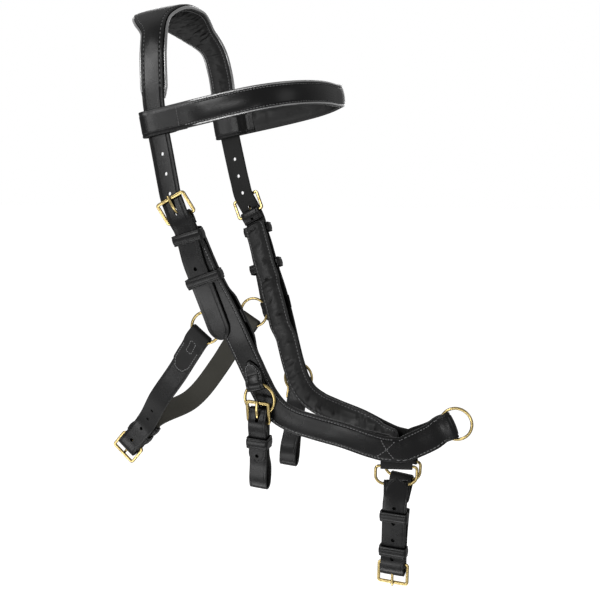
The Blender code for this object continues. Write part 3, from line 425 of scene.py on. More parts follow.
@dataclass
class Cut:
    """Cross section and ends of a strap or pad.

    Attributes:
        width: Width, or a rule of the distance along the route.
        thick: Thickness at the edges.
        rounding: Radius of the edges.
        crease: Distance of the creased line from each edge; 0 for none.
        crease_depth: Depth of that line.
        groove: Half width of that line.
        swell_out: Height of the raised middle on the outer side, or a rule of it.
        swell_in: Height of the raised middle on the inner side.
        border: Width of the flat stitched border on the inner side.
        tip: Length of the shaped end of the route.
        heel: Length of the shaped start.
        end: Shape of the shaped ends.
        step: Longest distance between cross sections.
        ripple: Height of the soft unevenness of the outer side.
        pucker: Height of wrinkles across a pad's inner side.
    """

    width: float | Rule
    thick: float
    rounding: float = 1.1 * MM
    crease: float = 0.0
    crease_depth: float = 0.3 * MM
    groove: float = 0.42 * MM
    swell_out: float | Rule = 0.0
    swell_in: float = 0.0
    border: float = 0.0
    tip: float = 0.0
    heel: float = 0.0
    end: End = End.ROUND
    step: float = 2.6 * MM
    ripple: float = 0.06 * MM
    pucker: float = 0.0

    def share(self, to_end: float, length: float) -> float:
        """Share of the full width at a distance from a shaped end.

        Args:
            to_end: The distance.
            length: Length of the shaped end.

        Returns:
            The share, 1 past the shaped end.
        """
        if length <= 0 or to_end >= length:
            return 1.0
        part = max(to_end / length, 0.0)
        if self.end is End.POINTED:
            return 0.16 + 0.84 * math.sin(part * math.pi / 2) ** 0.9
        return max(math.sqrt(1 - (1 - part) ** 2), 0.2)

    def relief(self, half: float, share: float, swell: float, across: float) -> float:
        """Height of the raised middle and of the creased line at a distance across.

        Args:
            half: Half of the width here.
            share: Share of the full width.
            swell: Height of the raised middle.
            across: Distance from the middle.

        Returns:
            The height over the flat outer face.
        """
        line = min(self.crease, half * 0.4)
        inside = half - abs(across)
        dome = max(0.0, 1 - (across / max(half - line, 1e-6)) ** 2)
        rise = swell * share * (0.75 * dome + 0.25 * blend(inside, 0, 1, line, line + 1.2 * MM))
        dip = self.crease_depth * math.exp(-((inside - line) / self.groove) ** 2) if line else 0.0
        return rise - dip

    def surface(self, distance: float, across: float) -> float:
        """Height of the outer surface over the centre line."""
        half, swell = at(self.width, distance) / 2, at(self.swell_out, distance)
        return self.thick / 2 + self.relief(half, 1.0, swell, across)

    def section(self, half: float, share: float,
                swell: float) -> list[Mark]:
        """Points round one cross section.

        Args:
            half: Half of the width here.
            share: Share of the full width, which the raised middle follows.
            swell: Height of the raised middle on the outer side.

        Returns:
            Across, outward, nearness to an edge and share of flesh side, per point.
        """
        thick = self.thick / 2
        radius = min(self.rounding, thick * 0.92, half * 0.4)
        flat = half - radius
        line = min(self.crease, half * 0.4)
        gaps = [0.0, 0.12 * half, 0.3 * half]
        if self.crease:
            gaps = sorted([0.0] + [max(line + offset * MM, 0.1 * MM * i)
                                   for i, offset in enumerate(CREASE_OFFSETS)])
        squeeze = min(1.0, flat * 0.72 / gaps[-1])
        gaps = [g * squeeze for g in gaps]
        marks = [-flat + g for g in gaps] + [flat * u for u in (-0.42, -0.2, 0.0, 0.2, 0.42)]
        marks += [flat - g for g in reversed(gaps)]
        out = []
        for w in marks:
            rise = self.relief(half, share, swell, w)
            out.append((w, thick + rise, math.exp((abs(w) - half) / RUB), 0.0))
        out += self.corner((60, 30), (flat, thick - radius), radius, 0.0)
        out += [(half, thick - radius, 1.0, 0.25), (half, radius - thick, 1.0, 0.5)]
        out += self.corner((-30, -60), (flat, radius - thick), radius, 0.8)
        full = max(flat - self.border, 1e-6)
        for w in [flat * u for u in INNER_SHARES + (0,) + tuple(-u for u in INNER_SHARES[::-1])]:
            rise = self.swell_in * share * max(0.0, 1 - (w / full) ** 2) ** 0.6
            out.append((w, -thick - rise, math.exp(-(half - abs(w)) / RUB), 1.0))
        out += self.corner((-120, -150), (-flat, radius - thick), radius, 0.8)
        out += [(-half, radius - thick, 1.0, 0.5), (-half, thick - radius, 1.0, 0.25)]
        return out + self.corner((150, 120), (-flat, thick - radius), radius, 0.0)

    @staticmethod
    def corner(angles: Pair, centre: Pair, radius: float, flesh: float) -> list[Mark]:
        """Points of a rounded edge at angles in degrees, for section."""
        return [(centre[0] + radius * math.cos(math.radians(angle)),
                 centre[1] + radius * math.sin(math.radians(angle)), 1.0, flesh)
                for angle in angles]

    def ring(self, frame: tuple[Vector, Vector, Vector], distance: float, half: float,
             share: float) -> tuple[list[Vector], list[tuple]]:
        """Points and marks of a cross section.

        Args:
            frame: Place, across and outward directions.
            distance: Distance along the strap.
            half: Half of the width here.
            share: Share of the full width.

        Returns:
            The points and their marks.
        """
        place, across, outward = frame
        points, marks = [], []
        for w, n, edge, flesh in self.section(half, share, at(self.swell_out, distance)):
            spot = place + across * w + outward * n
            if flesh < 0.5:
                n += self.ripple * noise.noise(spot * 70) * (1 - edge)
            elif self.pucker:
                n += self.wrinkle(distance, w, half) * share
            points.append(place + across * w + outward * n)
            marks.append((distance, w, edge, flesh))
        return points, marks

    def wrinkle(self, distance: float, across: float, half: float) -> float:
        """Height of the wrinkles on a pad's inner side, shallow on its stitched border.

        Args:
            distance: Distance along the strap.
            across: Distance from its middle.
            half: Half of the width here.

        Returns:
            The height, less than 0 in a fold.
        """
        broad = noise.noise(Vector((distance * 95 + across * 40, across * 60, half * 900)))
        narrow = noise.noise(Vector((distance * 240 - across * 60, across * 90, 7.0)))
        wave = 0.8 * broad + 0.9 * narrow
        fold = 1 - min(abs(wave) * 2.6, 1.0)
        inside = blend(half - abs(across), 0.12, 1, self.border + 0.6 * MM,
                       self.border + 2.6 * MM)
        return self.pucker * (wave * 0.8 - fold * 0.55) * inside

    def along(self, route: Route, span: Pair | None = None,
              lift: float | Rule = 0.0) -> Shell:
        """Loft the section along a route.

        Args:
            route: Centre line.
            span: Part of the route, or all of it.
            lift: How far the middle moves outward, or a rule of it.

        Returns:
            The closed shell.
        """
        start, end = span or (0.0, route.length)
        stops = [end - self.tip * u for u in END_SHARES if self.tip]
        stops += [start + self.heel * u for u in END_SHARES if self.heel]
        count = math.ceil((end - start) / self.step)
        inner = [start + (end - start) * k / count for k in range(1, count)]
        bends, last = [], route.frame(start)[1]
        distance = start
        while distance < end:
            way = route.frame(distance)[1]
            if way.angle(last) > BEND_STEP:
                bends.append(distance)
                last = way
            distance += FINE
        stops += [d for d in inner + bends if start + self.heel < d < end - self.tip]
        kept = []
        for stop in sorted(stops + [start, end]):
            if not kept or stop - kept[-1] > CLOSEST:
                kept.append(stop)
        rings, marks = [], []
        for stop in kept:
            share = min(self.share(end - stop, self.tip), self.share(stop - start, self.heel))
            half = at(self.width, stop) * share / 2
            place, _, across, outward = route.frame(stop)
            place = place + outward * at(lift, stop)
            points, row = self.ring((place, across, outward), stop, half, share)
            rings.append(points)
            marks.append(row)
        return Shell.joined(rings, marks, False)

    def round_loop(self, seat: Seat, points: Path) -> Shell:
        """Loft the section round a keeper's loop.

        Args:
            seat: Axes with s along the strap that the keeper holds.
            points: Loop in the seat's w and n plane, wound from w to n.

        Returns:
            The closed shell.
        """
        rings, marks = [], []
        travel = 0.0
        middle = (min(n for _, n in points) + max(n for _, n in points)) / 2
        for i, (w, n) in enumerate(points):
            after, before = points[(i + 1) % len(points)], points[i - 1]
            way = (seat.across * (after[0] - before[0]) + seat.outward * (after[1] - before[1]))
            out = way.normalized().cross(seat.along)
            if out.dot(seat.across * w + seat.outward * (n - middle)) < 0:
                out = -out
            row = self.ring((seat.point(0, w, n), seat.along, out), travel, self.width / 2, 1.0)
            rings.append(row[0])
            marks.append(row[1])
            travel += (Vector(after) - Vector((w, n))).length
        return Shell.joined(rings, marks, True)


def wire(points: Sequence[Vector], binormal: Vector, half_wide: float, half_thick: float,
         closed: bool, sides: int = 14, ends: float = 1.0, square: float = 1.0) -> Shell:
    """Sweep a rounded bar along points in one plane.

    Args:
        points: Centre line.
        binormal: Direction square to the plane.
        half_wide: Half size along the binormal.
        half_thick: Half size in the plane.
        closed: Whether the bar closes on itself.
        sides: Sides of the section.
        ends: Share of the size at the last point.
        square: 1 for a round section, less for a squarer one.

    Returns:
        The shell.
    """
    normal = Vector(binormal).normalized()
    count = len(points)
    rings, marks = [], []
    travel = 0.0
    for i, point in enumerate(points):
        if closed:
            ahead, behind = points[(i + 1) % count], points[i - 1]
        else:
            ahead, behind = points[min(i + 1, count - 1)], points[max(i - 1, 0)]
        side = (ahead - behind).normalized().cross(normal).normalized()
        size = ends if i == count - 1 and not closed else 1.0
        ring, row = [], []
        for angle in turns(sides):
            wide, high = (math.copysign(abs(part) ** square, part)
                          for part in (math.cos(angle), math.sin(angle)))
            ring.append(point + normal * (half_wide * size * wide)
                        + side * (half_thick * size * high))
            row.append((travel, angle * half_wide, 0.0, 0.0))
        rings.append(ring)
        marks.append(row)
        travel += (ahead - point).length
    return Shell.joined(rings, marks, closed)


def punch(seat: Seat, length: float = 3.8 * MM, depth: float = 6 * MM,
          wide: float = 3.8 * MM) -> Shell:
    """Cutter for a punched hole, round or lengthened along the strap.

    Args:
        seat: Middle of the hole.
        length: Size along the strap.
        depth: Reach of the cutter each way.
        wide: Size across the strap.

    Returns:
        The cutter.
    """
    stretch = max(length - wide, 0) / 2
    rings = []
    for n in (-depth, depth):
        ring = []
        for angle in turns(18, 0.5):
            s = wide / 2 * math.cos(angle)
            s += stretch if s > 0 else -stretch
            ring.append(seat.point(s, wide / 2 * math.sin(angle), n))
        rings.append(ring)
    return Shell.joined(rings, [[(0.0, 0.0, 1.0, 0.6)] * 18] * 2, False)


@dataclass
class Thread:
    """A row of stitches.

    Attributes:
        pitch: Distance from stitch to stitch.
        length: Length of a stitch.
        radius: Half of its width.
        face: 1 for the strap's outer face, -1 for its inner one.
        sunk: Height of the stitches over the strap's surface.
    """

    pitch: float = 3.5 * MM
    length: float = 2.6 * MM
    radius: float = 0.5 * MM
    face: int = 1
    sunk: float = 0.12 * MM

    def lay(self, route: Route, line: Path,
            height: Height, seed: int = 3) -> Shell:
        """Lay stitches on a strap along a line.

        Args:
            route: Centre line of the strap.
            line: Corners as distance along and across the strap.
            height: Height of the strap's surface, from distances along and across it.
            seed: Seed of the small differences between the stitches.

        Returns:
            The stitches.
        """
        chance = random.Random(seed)
        shell = Shell()
        for (d0, w0), (d1, w1) in zip(line, line[1:]):
            whole = math.hypot(d1 - d0, w1 - w0)
            count = max(1, round(whole / self.pitch))
            for k in range(count):
                share = (k + 0.5) / count
                d, w = d0 + (d1 - d0) * share, w0 + (w1 - w0) * share
                reach = self.length / 2 / whole
                lean = chance.uniform(-0.1, 0.1) * MM
                level = height(d, w) + self.sunk * self.face
                a = route.point(d - (d1 - d0) * reach, w - (w1 - w0) * reach - lean, level)
                b = route.point(d + (d1 - d0) * reach, w + (w1 - w0) * reach + lean, level)
                out = route.frame(d)[3] * self.face
                shell.add(self.stitch(a, b, out, chance.uniform(0.9, 1.1)))
        return shell

    def stitch(self, a: Vector, b: Vector, outward: Vector, size: float) -> Shell:
        """One stitch between two points, highest in its middle.

        Args:
            a: Where it starts.
            b: Where it ends.
            outward: Direction away from the leather.
            size: Share of the usual width.

        Returns:
            The stitch.
        """
        side = (b - a).normalized().cross(outward).normalized()
        rings, marks = [], []
        for share, scale, rise in STITCH_RINGS:
            middle = a.lerp(b, share) + outward * (rise * self.radius)
            ring = []
            for angle in turns(6):
                ring.append(middle + side * (self.radius * scale * size * math.cos(angle))
                            + outward * (self.radius * 0.75 * scale * math.sin(angle)))
            rings.append(ring)
            marks.append([(share, 0.0, 0.0, 0.0)] * 6)
        return Shell.joined(rings, marks, False)


def mesh_piece(name: str, shell: Shell) -> bpy.types.Object:
    """Make an object from a shell.

    Args:
        name: Name of the object.
        shell: Its points, faces and marks.

    Returns:
        The object, with its faces turned outward, a UV map in metres and its marks as
        attributes.
    """
    mesh = bpy.data.meshes.new(name)
    mesh.from_pydata([tuple(p) for p in shell.points], [], shell.faces)
    edge = mesh.attributes.new("edge_share", "FLOAT", "POINT")
    flesh = mesh.attributes.new("flesh_share", "FLOAT", "POINT")
    edge.data.foreach_set("value", [m[2] for m in shell.marks])
    flesh.data.foreach_set("value", [m[3] for m in shell.marks])
    chart = mesh.uv_layers.new(name="UVMap")
    for loop in mesh.loops:
        mark = shell.marks[loop.vertex_index]
        chart.data[loop.index].uv = (mark[0], mark[1])
    grid = bmesh.new()
    grid.from_mesh(mesh)
    bmesh.ops.recalc_face_normals(grid, faces=grid.faces)
    grid.to_mesh(mesh)
    grid.free()
    thing = bpy.data.objects.new(name, mesh)
    bpy.context.scene.collection.objects.link(thing)
    return thing


def cut_out(thing: bpy.types.Object, cutters: Sequence[Shell]) -> None:
    """Cut holes out of a piece and keep the result as its mesh.

    Args:
        thing: The piece.
        cutters: Closed shells.
    """
    tools = []
    for number, cutter in enumerate(cutters):
        tool = mesh_piece(f"{thing.name}_punch_{number}", cutter)
        cut = thing.modifiers.new(tool.name, "BOOLEAN")
        cut.operation = "DIFFERENCE"
        cut.solver = "EXACT"
        cut.object = tool
        tools.append(tool)
    graph = bpy.context.evaluated_depsgraph_get()
    mesh = bpy.data.meshes.new_from_object(thing.evaluated_get(graph))
    thing.modifiers.clear()
    thing.data = mesh
    for tool in tools:
        bpy.data.objects.remove(tool)


@dataclass(frozen=True)
class Stock:
    """Thicknesses, wires and clearances that the pieces share.

    Attributes:
        gap: Clearance between pieces.
        strap: Thickness of the wide straps.
        light: Thickness of the bit and chin straps.
        tab: Thickness of ring tabs.
        keeper: Thickness of keepers.
        pad: Thickness of linings at their edges.
        pad_rise: Height of a lining's swollen middle.
        pad_gap: Clearance between strap and lining.
        buckle_wire: Half thickness of a buckle's wire, square to its frame.
        bar_wide: Half width of a buckle's wire, in its frame's plane.
        tongue_wire: Half thickness of a tongue.
        tongue_half: Half width of a tongue.
        ring_wire: Radius of a ring's wire.
        ring_radius: Radius of round rings.
        pitch: Distance from hole to hole.
        billet: Width of the crown's billets.
    """

    gap: float = 0.3 * MM
    strap: float = 2.6 * MM
    light: float = 2.2 * MM
    tab: float = 1.4 * MM
    keeper: float = 1.5 * MM
    pad: float = 3.0 * MM
    pad_rise: float = 3.2 * MM
    pad_gap: float = 0.45 * MM
    buckle_wire: float = 1.3 * MM
    bar_wide: float = 1.5 * MM
    tongue_wire: float = 0.9 * MM
    tongue_half: float = 1.4 * MM
    ring_wire: float = 1.45 * MM
    ring_radius: float = 15.2 * MM
    pitch: float = 19 * MM
    billet: float = 22.5 * MM


STOCK = Stock()


class Bench:
    """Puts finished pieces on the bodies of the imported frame."""

    def __init__(self, frame: dict, finishes: dict[str, bpy.types.Material]) -> None:
        """Note which body each node belongs to.

        Args:
            frame: The loaded frame.
            finishes: Materials by name.
        """
        groups = frame["record"]["behaviour"]["bodies"]
        self.home = {node: body for body, nodes in groups.items() for node in nodes}
        self.finishes = finishes
        self.count = 0

    def place(self, node: str, kind: Kind, shell: Shell,
              cutters: Sequence[Shell] = ()) -> bpy.types.Object:
        """Make a piece and let it ride its node's body.

        Args:
            node: Node of the frame that the piece shows.
            kind: What the piece is made of.
            shell: Its points and faces.
            cutters: Shells that are cut out of it.

        Returns:
            The piece.
        """
        part, finish, slot = kind.value
        thing = mesh_piece(f"{node}_{part}", shell)
        if cutters:
            cut_out(thing, cutters)
        thing.data.materials.append(self.finishes[finish])
        thing.data.shade_smooth()
        thing.data.set_sharp_from_angle(angle=SHARP)
        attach(thing, self.home[node])
        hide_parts(node)
        self.count += 1
        return thing

    def pair(self, node: str, kind: Kind, shell: Shell,
             cutters: Sequence[Shell] = ()) -> list[bpy.types.Object]:
        """Make a piece of the right side and the same piece on the left side.

        Args:
            node: End of the nodes' names, without their side.
            kind: What both are made of.
            shell: Points and faces of the right one.
            cutters: Shells that are cut out of the right one.

        Returns:
            The right and the left piece.
        """
        left = [cutter.mirrored() for cutter in cutters]
        return [self.place(f"right_{node}", kind, shell, cutters),
                self.place(f"left_{node}", kind, shell.mirrored(), left)]

    def buckle(self, node: str, buckle: Buckle, reach: Path, both: bool = False) -> None:
        """Make the frame and the tongue of a buckle.

        Args:
            node: Start of the nodes' names.
            buckle: The buckle.
            reach: Path of the tongue.
            both: Whether the left side has the same buckle.
        """
        make = self.pair if both else self.place
        make(f"{node}_buckle", Kind.WIRE, buckle.frame())
        make(f"{node}_tongue", Kind.WIRE, buckle.tongue(reach))


def ring_shell(centre: Vector, axis: Vector) -> Shell:
    """Round wire ring round an axis.

    Args:
        centre: Middle of the ring.
        axis: The axis.

    Returns:
        The ring.
    """
    axis = Vector(axis).normalized()
    first = axis.orthogonal().normalized()
    second = axis.cross(first)
    points = [centre + (first * math.cos(a) + second * math.sin(a)) * STOCK.ring_radius
              for a in turns(72)]
    return wire(points, axis, STOCK.ring_wire, STOCK.ring_wire, True, sides=18)


@dataclass
class Buckle:
    """Wire buckle with a tongue coiled round its pivot bar.

    Attributes:
        seat: Axes with the pivot bar across s = 0.
        width: Width of the strap in it.
        pivot_n: Level of the pivot bar.
        free_n: Level of the free bar.
        length: Distance between the bars.
        play: Room beside the strap.
        corner: Radius of the frame's corners.
    """

    seat: Seat
    width: float
    pivot_n: float
    free_n: float
    length: float = 20 * MM
    play: float = 1.4 * MM
    corner: float = 1.9 * MM

    def frame(self) -> Shell:
        """The closed wire frame."""
        half = self.width / 2 + self.play + STOCK.buckle_wire
        points = []
        for s, w in round_rectangle(self.length / 2, half, self.corner, 8):
            share = s / self.length + 0.5
            level = self.pivot_n + (self.free_n - self.pivot_n) * share
            points.append(self.seat.point(share * self.length, w, level))
        slope = (self.seat.point(self.length, 0, self.free_n)
                 - self.seat.point(0, 0, self.pivot_n))
        return wire(points, slope.cross(self.seat.across), STOCK.buckle_wire,
                    STOCK.bar_wide, True, sides=24, square=0.5)

    def tongue(self, reach: Path) -> Shell:
        """The tongue from its coil through the points of reach, tapered to its tip.

        Args:
            reach: Points in the seat's s and n plane.

        Returns:
            The tongue.
        """
        coil = STOCK.buckle_wire + STOCK.gap + STOCK.tongue_wire
        path = arc(0, self.pivot_n, coil, -30, -270, 16) + soft_path(reach)
        points = [self.seat.point(s, 0, n) for s, n in path]
        return wire(points, self.seat.across, STOCK.tongue_half, STOCK.tongue_wire, False,
                    sides=14, ends=0.6)


def soft_path(reach: Path) -> list[Pair]:
    """More points between the given ones, on a smooth curve."""
    line = smooth_line([[Vector((s, n, 0))] for s, n in reach])
    kept = line[::2] if len(line) % 2 else line[::2] + [line[-1]]
    return [(row[0].x, row[0].y) for row in kept]


def chape_points(pivot_n: float, thick: float, turn_back: float, outer_n: float = 0.0,
                 slope: float = 0.0) -> list[Pair]:
    """Fold of a strap's end round a pivot bar.

    Args:
        pivot_n: Level of the bar.
        thick: Thickness of the strap.
        turn_back: Length of the turned-back end.
        outer_n: Level of the strap behind the bar.
        slope: Sinking of the strap for each unit that it leaves the buckle.

    Returns:
        Points in the seat's s and n plane, from the turned-back end on.
    """
    bend = STOCK.buckle_wire + STOCK.gap + thick / 2
    under = outer_n - thick - STOCK.gap
    points = [(-turn_back, under), (-bend * 3, under), (-bend * 1.2, min(under, pivot_n - bend))]
    points += arc(0, pivot_n, bend, -90, 90, 6)
    points += [(-bend * 1.5, pivot_n + bend - (pivot_n + bend - outer_n) * 0.35),
               (-bend * 3, outer_n)]
    return [(s, n + min(s, 0) * slope) for s, n in points]


def slot_cutter(seat: Seat, pivot_n: float, thick: float) -> Shell:
    """Cutter for the tongue's slot in a folded strap end.

    Args:
        seat: Axes of the buckle.
        pivot_n: Level of the pivot bar.
        thick: Thickness of the strap.

    Returns:
        The cutter.
    """
    half = STOCK.tongue_half + STOCK.gap
    depth = STOCK.buckle_wire + STOCK.gap + thick + STOCK.gap / 2
    outline = arc(0, pivot_n, depth, 90, -90, 12)
    outline += [(-depth - 3.5 * MM, pivot_n - depth), (-depth - 3.5 * MM, pivot_n + depth * 0.55)]
    rings = [[seat.point(s, w, n) for s, n in outline] for w in (-half, half)]
    return Shell.joined(rings, [[(0.0, 0.0, 1.0, 0.6)] * len(outline)] * 2, False)


def keeper_loop(seat: Seat, width: float, low: float, high: float, band: float = 10 * MM) -> Shell:
    """Leather loop round everything of the given width between two levels.

    Args:
        seat: Axes with s along the strap.
        width: Width of what it holds.
        low: Lower level of what it holds.
        high: Upper level of what it holds.
        band: Length of the keeper along the strap.

    Returns:
        The shell.
    """
    half_w = width / 2 + STOCK.gap + STOCK.keeper / 2
    half_n = (high - low) / 2 + STOCK.gap + STOCK.keeper / 2
    middle = (high + low) / 2
    corner = min(1.9 * MM, half_n * 0.8)
    points = [(w, middle + n) for w, n in round_rectangle(half_w, half_n, corner, 7)]
    cut = Cut(band, STOCK.keeper, rounding=0.55 * MM, crease=1.7 * MM, crease_depth=0.22 * MM,
              swell_out=0.4 * MM)
    return cut.round_loop(seat, points)


def ring_fold(width: float, thick: float) -> Pair:
    """Distance from a ring's centre to a strap's bend round its wire, and the bend's radius.

    Args:
        width: Width of the strap.
        thick: Its thickness.

    Returns:
        Distance and radius.
    """
    radius = STOCK.ring_radius
    chord = math.sqrt(radius ** 2 - (width / 2) ** 2)
    slant = STOCK.ring_wire * (radius / chord - 1)
    return chord - slant, STOCK.ring_wire + STOCK.gap + thick / 2


def cord_along(route: Route, span: Pair, across: Rule, height: Rule | float,
               radius: float, sides: int = 10) -> Shell:
    """Round cord beside a strap's middle.

    Args:
        route: Centre line of the strap.
        span: Part of the route.
        across: Rule of the distance across the strap.
        height: Height over the centre line, or a rule of it.
        radius: Half of its thickness.
        sides: Sides of the section.

    Returns:
        The cord.
    """
    start, end = span
    count = max(2, math.ceil((end - start) / (2.2 * MM)))
    rings, marks = [], []
    for k, distance in enumerate(steps_between(span, count)):
        fade = min(1.0, 0.3 + 0.7 * min(k, count - k) / 2)
        place, _, side, outward = route.frame(distance)
        level = at(height, distance)
        centre = place + side * across(distance) + outward * level
        ring = []
        for angle in turns(sides):
            ring.append(centre + (side * math.cos(angle) + outward * math.sin(angle))
                        * (radius * fade))
        rings.append(ring)
        marks.append([(distance, radius * angle, 0.3, 0.0) for angle in turns(sides)])
    return Shell.joined(rings, marks, False)


def edge_seams(route: Route, stops: Sequence[float], reach: Rule, height: Height,
               seeds: Sequence[int], face: int = 1) -> Shell:
    """Stitch rows near both edges of a strap or lining.

    Args:
        route: Centre line of the strap.
        stops: Distances along it, between which the rows run straight.
        reach: Rule of the rows' distance from the middle.
        height: Height of the stitched face.
        seeds: Seed of each row.
        face: 1 for the strap's outer face, -1 for its inner one.

    Returns:
        The stitches.
    """
    shell = Shell()
    for sign, seed in zip((-1, 1), seeds):
        line = [(d, sign * reach(d)) for d in stops]
        shell.add(Thread(face=face).lay(route, line, height, seed))
    return shell


@dataclass
class Assembly:
    """A group of pieces that are built together.

    Attributes:
        bench: Where the pieces go.
    """

    bench: Bench


@dataclass
class Cheek(Assembly):
    """Cheekpieces: cheek and side of the noseband in one strap, with buckles and padding.

    Attributes:
        width: Width of the cheek below its buckle.
        buckle: Place of the buckle's pivot bar.
        lean: Angle of the buckle from upright.
        pivot_n: Level of the pivot bar over the strap's middle.
        under_free_bar: Level of the billet under the free bar.
        inset: Distance of the stitches from the edges.
        keeper_room: Room between strap and padding for the keepers.
        jowl_room: Room for the jowl tab.
        chin_room: Room for the chin tab.
        jowl_ring: Place of the right jowl ring.
    """

    width: float = 25 * MM
    buckle: Triple = (44.5 * MM, 84.6 * MM, -198 * MM)
    lean: float = math.radians(27)
    pivot_n: float = -1.4 * MM
    under_free_bar: float = 1.4 * MM
    inset: float = 2.6 * MM
    keeper_room: float = 3.9 * MM
    jowl_room: float = 9.2 * MM
    chin_room: float = 5.6 * MM
    jowl_ring: Triple = (57.3 * MM, 60.2 * MM, -305 * MM)

    def __post_init__(self) -> None:
        """Work out the buckle's levels and the strap's centre line."""
        self.seat = Seat(right(self.buckle), (-math.sin(self.lean), 0, math.cos(self.lean)),
                         (0, -1, 0))
        bend = STOCK.buckle_wire + STOCK.gap + STOCK.strap / 2
        self.rise = self.pivot_n + bend
        self.billet_n = STOCK.strap + STOCK.gap
        self.over_bar = self.rise + STOCK.strap + STOCK.gap
        self.free_n = self.under_free_bar + STOCK.strap / 2 + STOCK.gap + STOCK.buckle_wire
        self.route = self.lay_route()
        self.bar = self.route.nearest(self.seat.point(0, 0, self.rise))

    def lay_route(self) -> Route:
        """Centre line of the leather from its turned-back end to the nose corner."""
        chape = chape_points(self.pivot_n, STOCK.strap, 10 * MM, slope=0.07)
        stations = flat_stations(self.seat, chape, -self.seat.across)
        down = [(51, 83.6, -211), (56, 81.6, -224), (60.6, 79.2, -237), (67.2, 75.8, -254.5),
                (82, 68, -288), (91.5, 61.5, -313), (100.5, 54.5, -338), (108, 49.6, -358),
                (115.5, 46, -374), (126.5, 43, -387.5), (141, 40, -395.5), (158, 36.5, -400.5),
                (189.5, 30.5, -408.5), (216, 24.1, -417.3), (228, 20.8, -420.2),
                (238, 17.9, -420.9)]
        return Route(stations + side_stations(right_points(down)))

    def wide(self, distance: float) -> float:
        """Width of the leather at a distance along it."""
        return blend(distance - self.bar, STOCK.billet, self.width, 18 * MM, 44 * MM)

    def raised(self, distance: float) -> float:
        """Height of the raised middle, low where the billet lies on it."""
        return blend(distance - self.bar, 0.2 * MM, 1.2 * MM, 105 * MM, 135 * MM)

    def depth(self, distance: float) -> float:
        """Level of the padding's middle, which leaves room for keepers and sewn-on tabs.

        Args:
            distance: Distance along the strap.

        Returns:
            The level over the strap's middle.
        """
        jowl = self.route.nearest(right(self.jowl_ring))
        corner = self.route.length - 8 * MM
        deep = blend(distance, self.keeper_room, self.jowl_room, jowl - 30 * MM, jowl - 16 * MM)
        deep = blend(distance, deep, 0.0, jowl + 22 * MM, jowl + 40 * MM)
        deep = blend(distance, deep, self.chin_room, corner - 30 * MM, corner - 14 * MM)
        return -(STOCK.strap / 2 + STOCK.pad_gap + deep + STOCK.pad / 2)

    def build(self, billet: Route) -> None:
        """Place the leather, hardware, padding, stitches and keepers of both sides.

        Args:
            billet: Centre line of the crown strap, whose billets the cheeks hold.
        """
        cut = Cut(self.wide, STOCK.strap, crease=self.inset, crease_depth=0.4 * MM,
                  groove=0.6 * MM, swell_out=self.raised)
        self.bench.pair("cheekpiece", Kind.LEATHER, cut.along(self.route),
                        [slot_cutter(self.seat, self.pivot_n, STOCK.strap)])
        self.build_buckle()
        self.build_padding()
        self.sew(cut)
        self.build_keepers(billet)

    def build_buckle(self) -> None:
        """Place the buckle frames and tongues."""
        buckle = Buckle(self.seat, STOCK.billet, self.pivot_n, self.free_n, play=2.5 * MM)
        rest = self.free_n + STOCK.buckle_wire + STOCK.gap + STOCK.tongue_wire
        reach = [(3.0 * MM, 1.6 * MM), (6.0 * MM, 3.6 * MM), (9.5 * MM, 5.4 * MM),
                 (15 * MM, rest - 0.2 * MM), (20 * MM, rest), (22.6 * MM, rest)]
        self.bench.buckle("cheek", buckle, reach, both=True)

    def build_padding(self) -> None:
        """Place the soft linings."""
        cut = Cut(self.width - 1 * MM, STOCK.pad, rounding=1.35 * MM, swell_in=STOCK.pad_rise,
                  tip=8 * MM, heel=4 * MM, step=1.6 * MM, ripple=0.08 * MM, pucker=2.3 * MM,
                  border=2.2 * MM)
        span = (self.bar + 12 * MM, self.route.length - 1 * MM)
        shell = cut.along(self.route, span, self.depth)
        for pad in self.bench.pair("cheek_padding", Kind.LINING, shell):
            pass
        shell = edge_seams(self.route,
                           steps_between((span[0] + 3 * MM, span[1] - 7 * MM), 40),
                           lambda d: (self.width - 1 * MM) / 2 - 2.4 * MM,
                           lambda d, w: self.depth(d) - STOCK.pad / 2, LINING_SEEDS, -1)
        self.bench.pair("cheek_padding", Kind.PAD_SEAM, shell)

    def sew(self, cut: Cut) -> None:
        """Place the stitch rows along both edges, at the chape and at the nose corner.

        Args:
            cut: Section of the cheekpiece.
        """
        stops = steps_between((self.bar + 34 * MM, self.route.length - 4 * MM), 24)
        shell = edge_seams(self.route, stops, lambda d: self.wide(d) / 2 - self.inset,
                           cut.surface, (10, 12))
        chape = Thread(pitch=2.9 * MM, length=2.1 * MM)
        for w in (-8.4 * MM, 8.4 * MM):
            line = [(self.bar + 9 * MM, w), (self.bar + 13.5 * MM, w)]
            shell.add(chape.lay(self.route, line, cut.surface, seed=17))
        corner = Thread(pitch=3 * MM, length=2.2 * MM, radius=0.42 * MM)
        near, far, reach = self.route.length - 17 * MM, self.route.length - 2 * MM, 8.6 * MM
        for sign in (-1, 1):
            shell.add(corner.lay(self.route, [(near, sign * reach), (far, -sign * reach)],
                                 cut.surface, seed=23))
        self.bench.pair("cheekpiece", Kind.SEAM, shell)

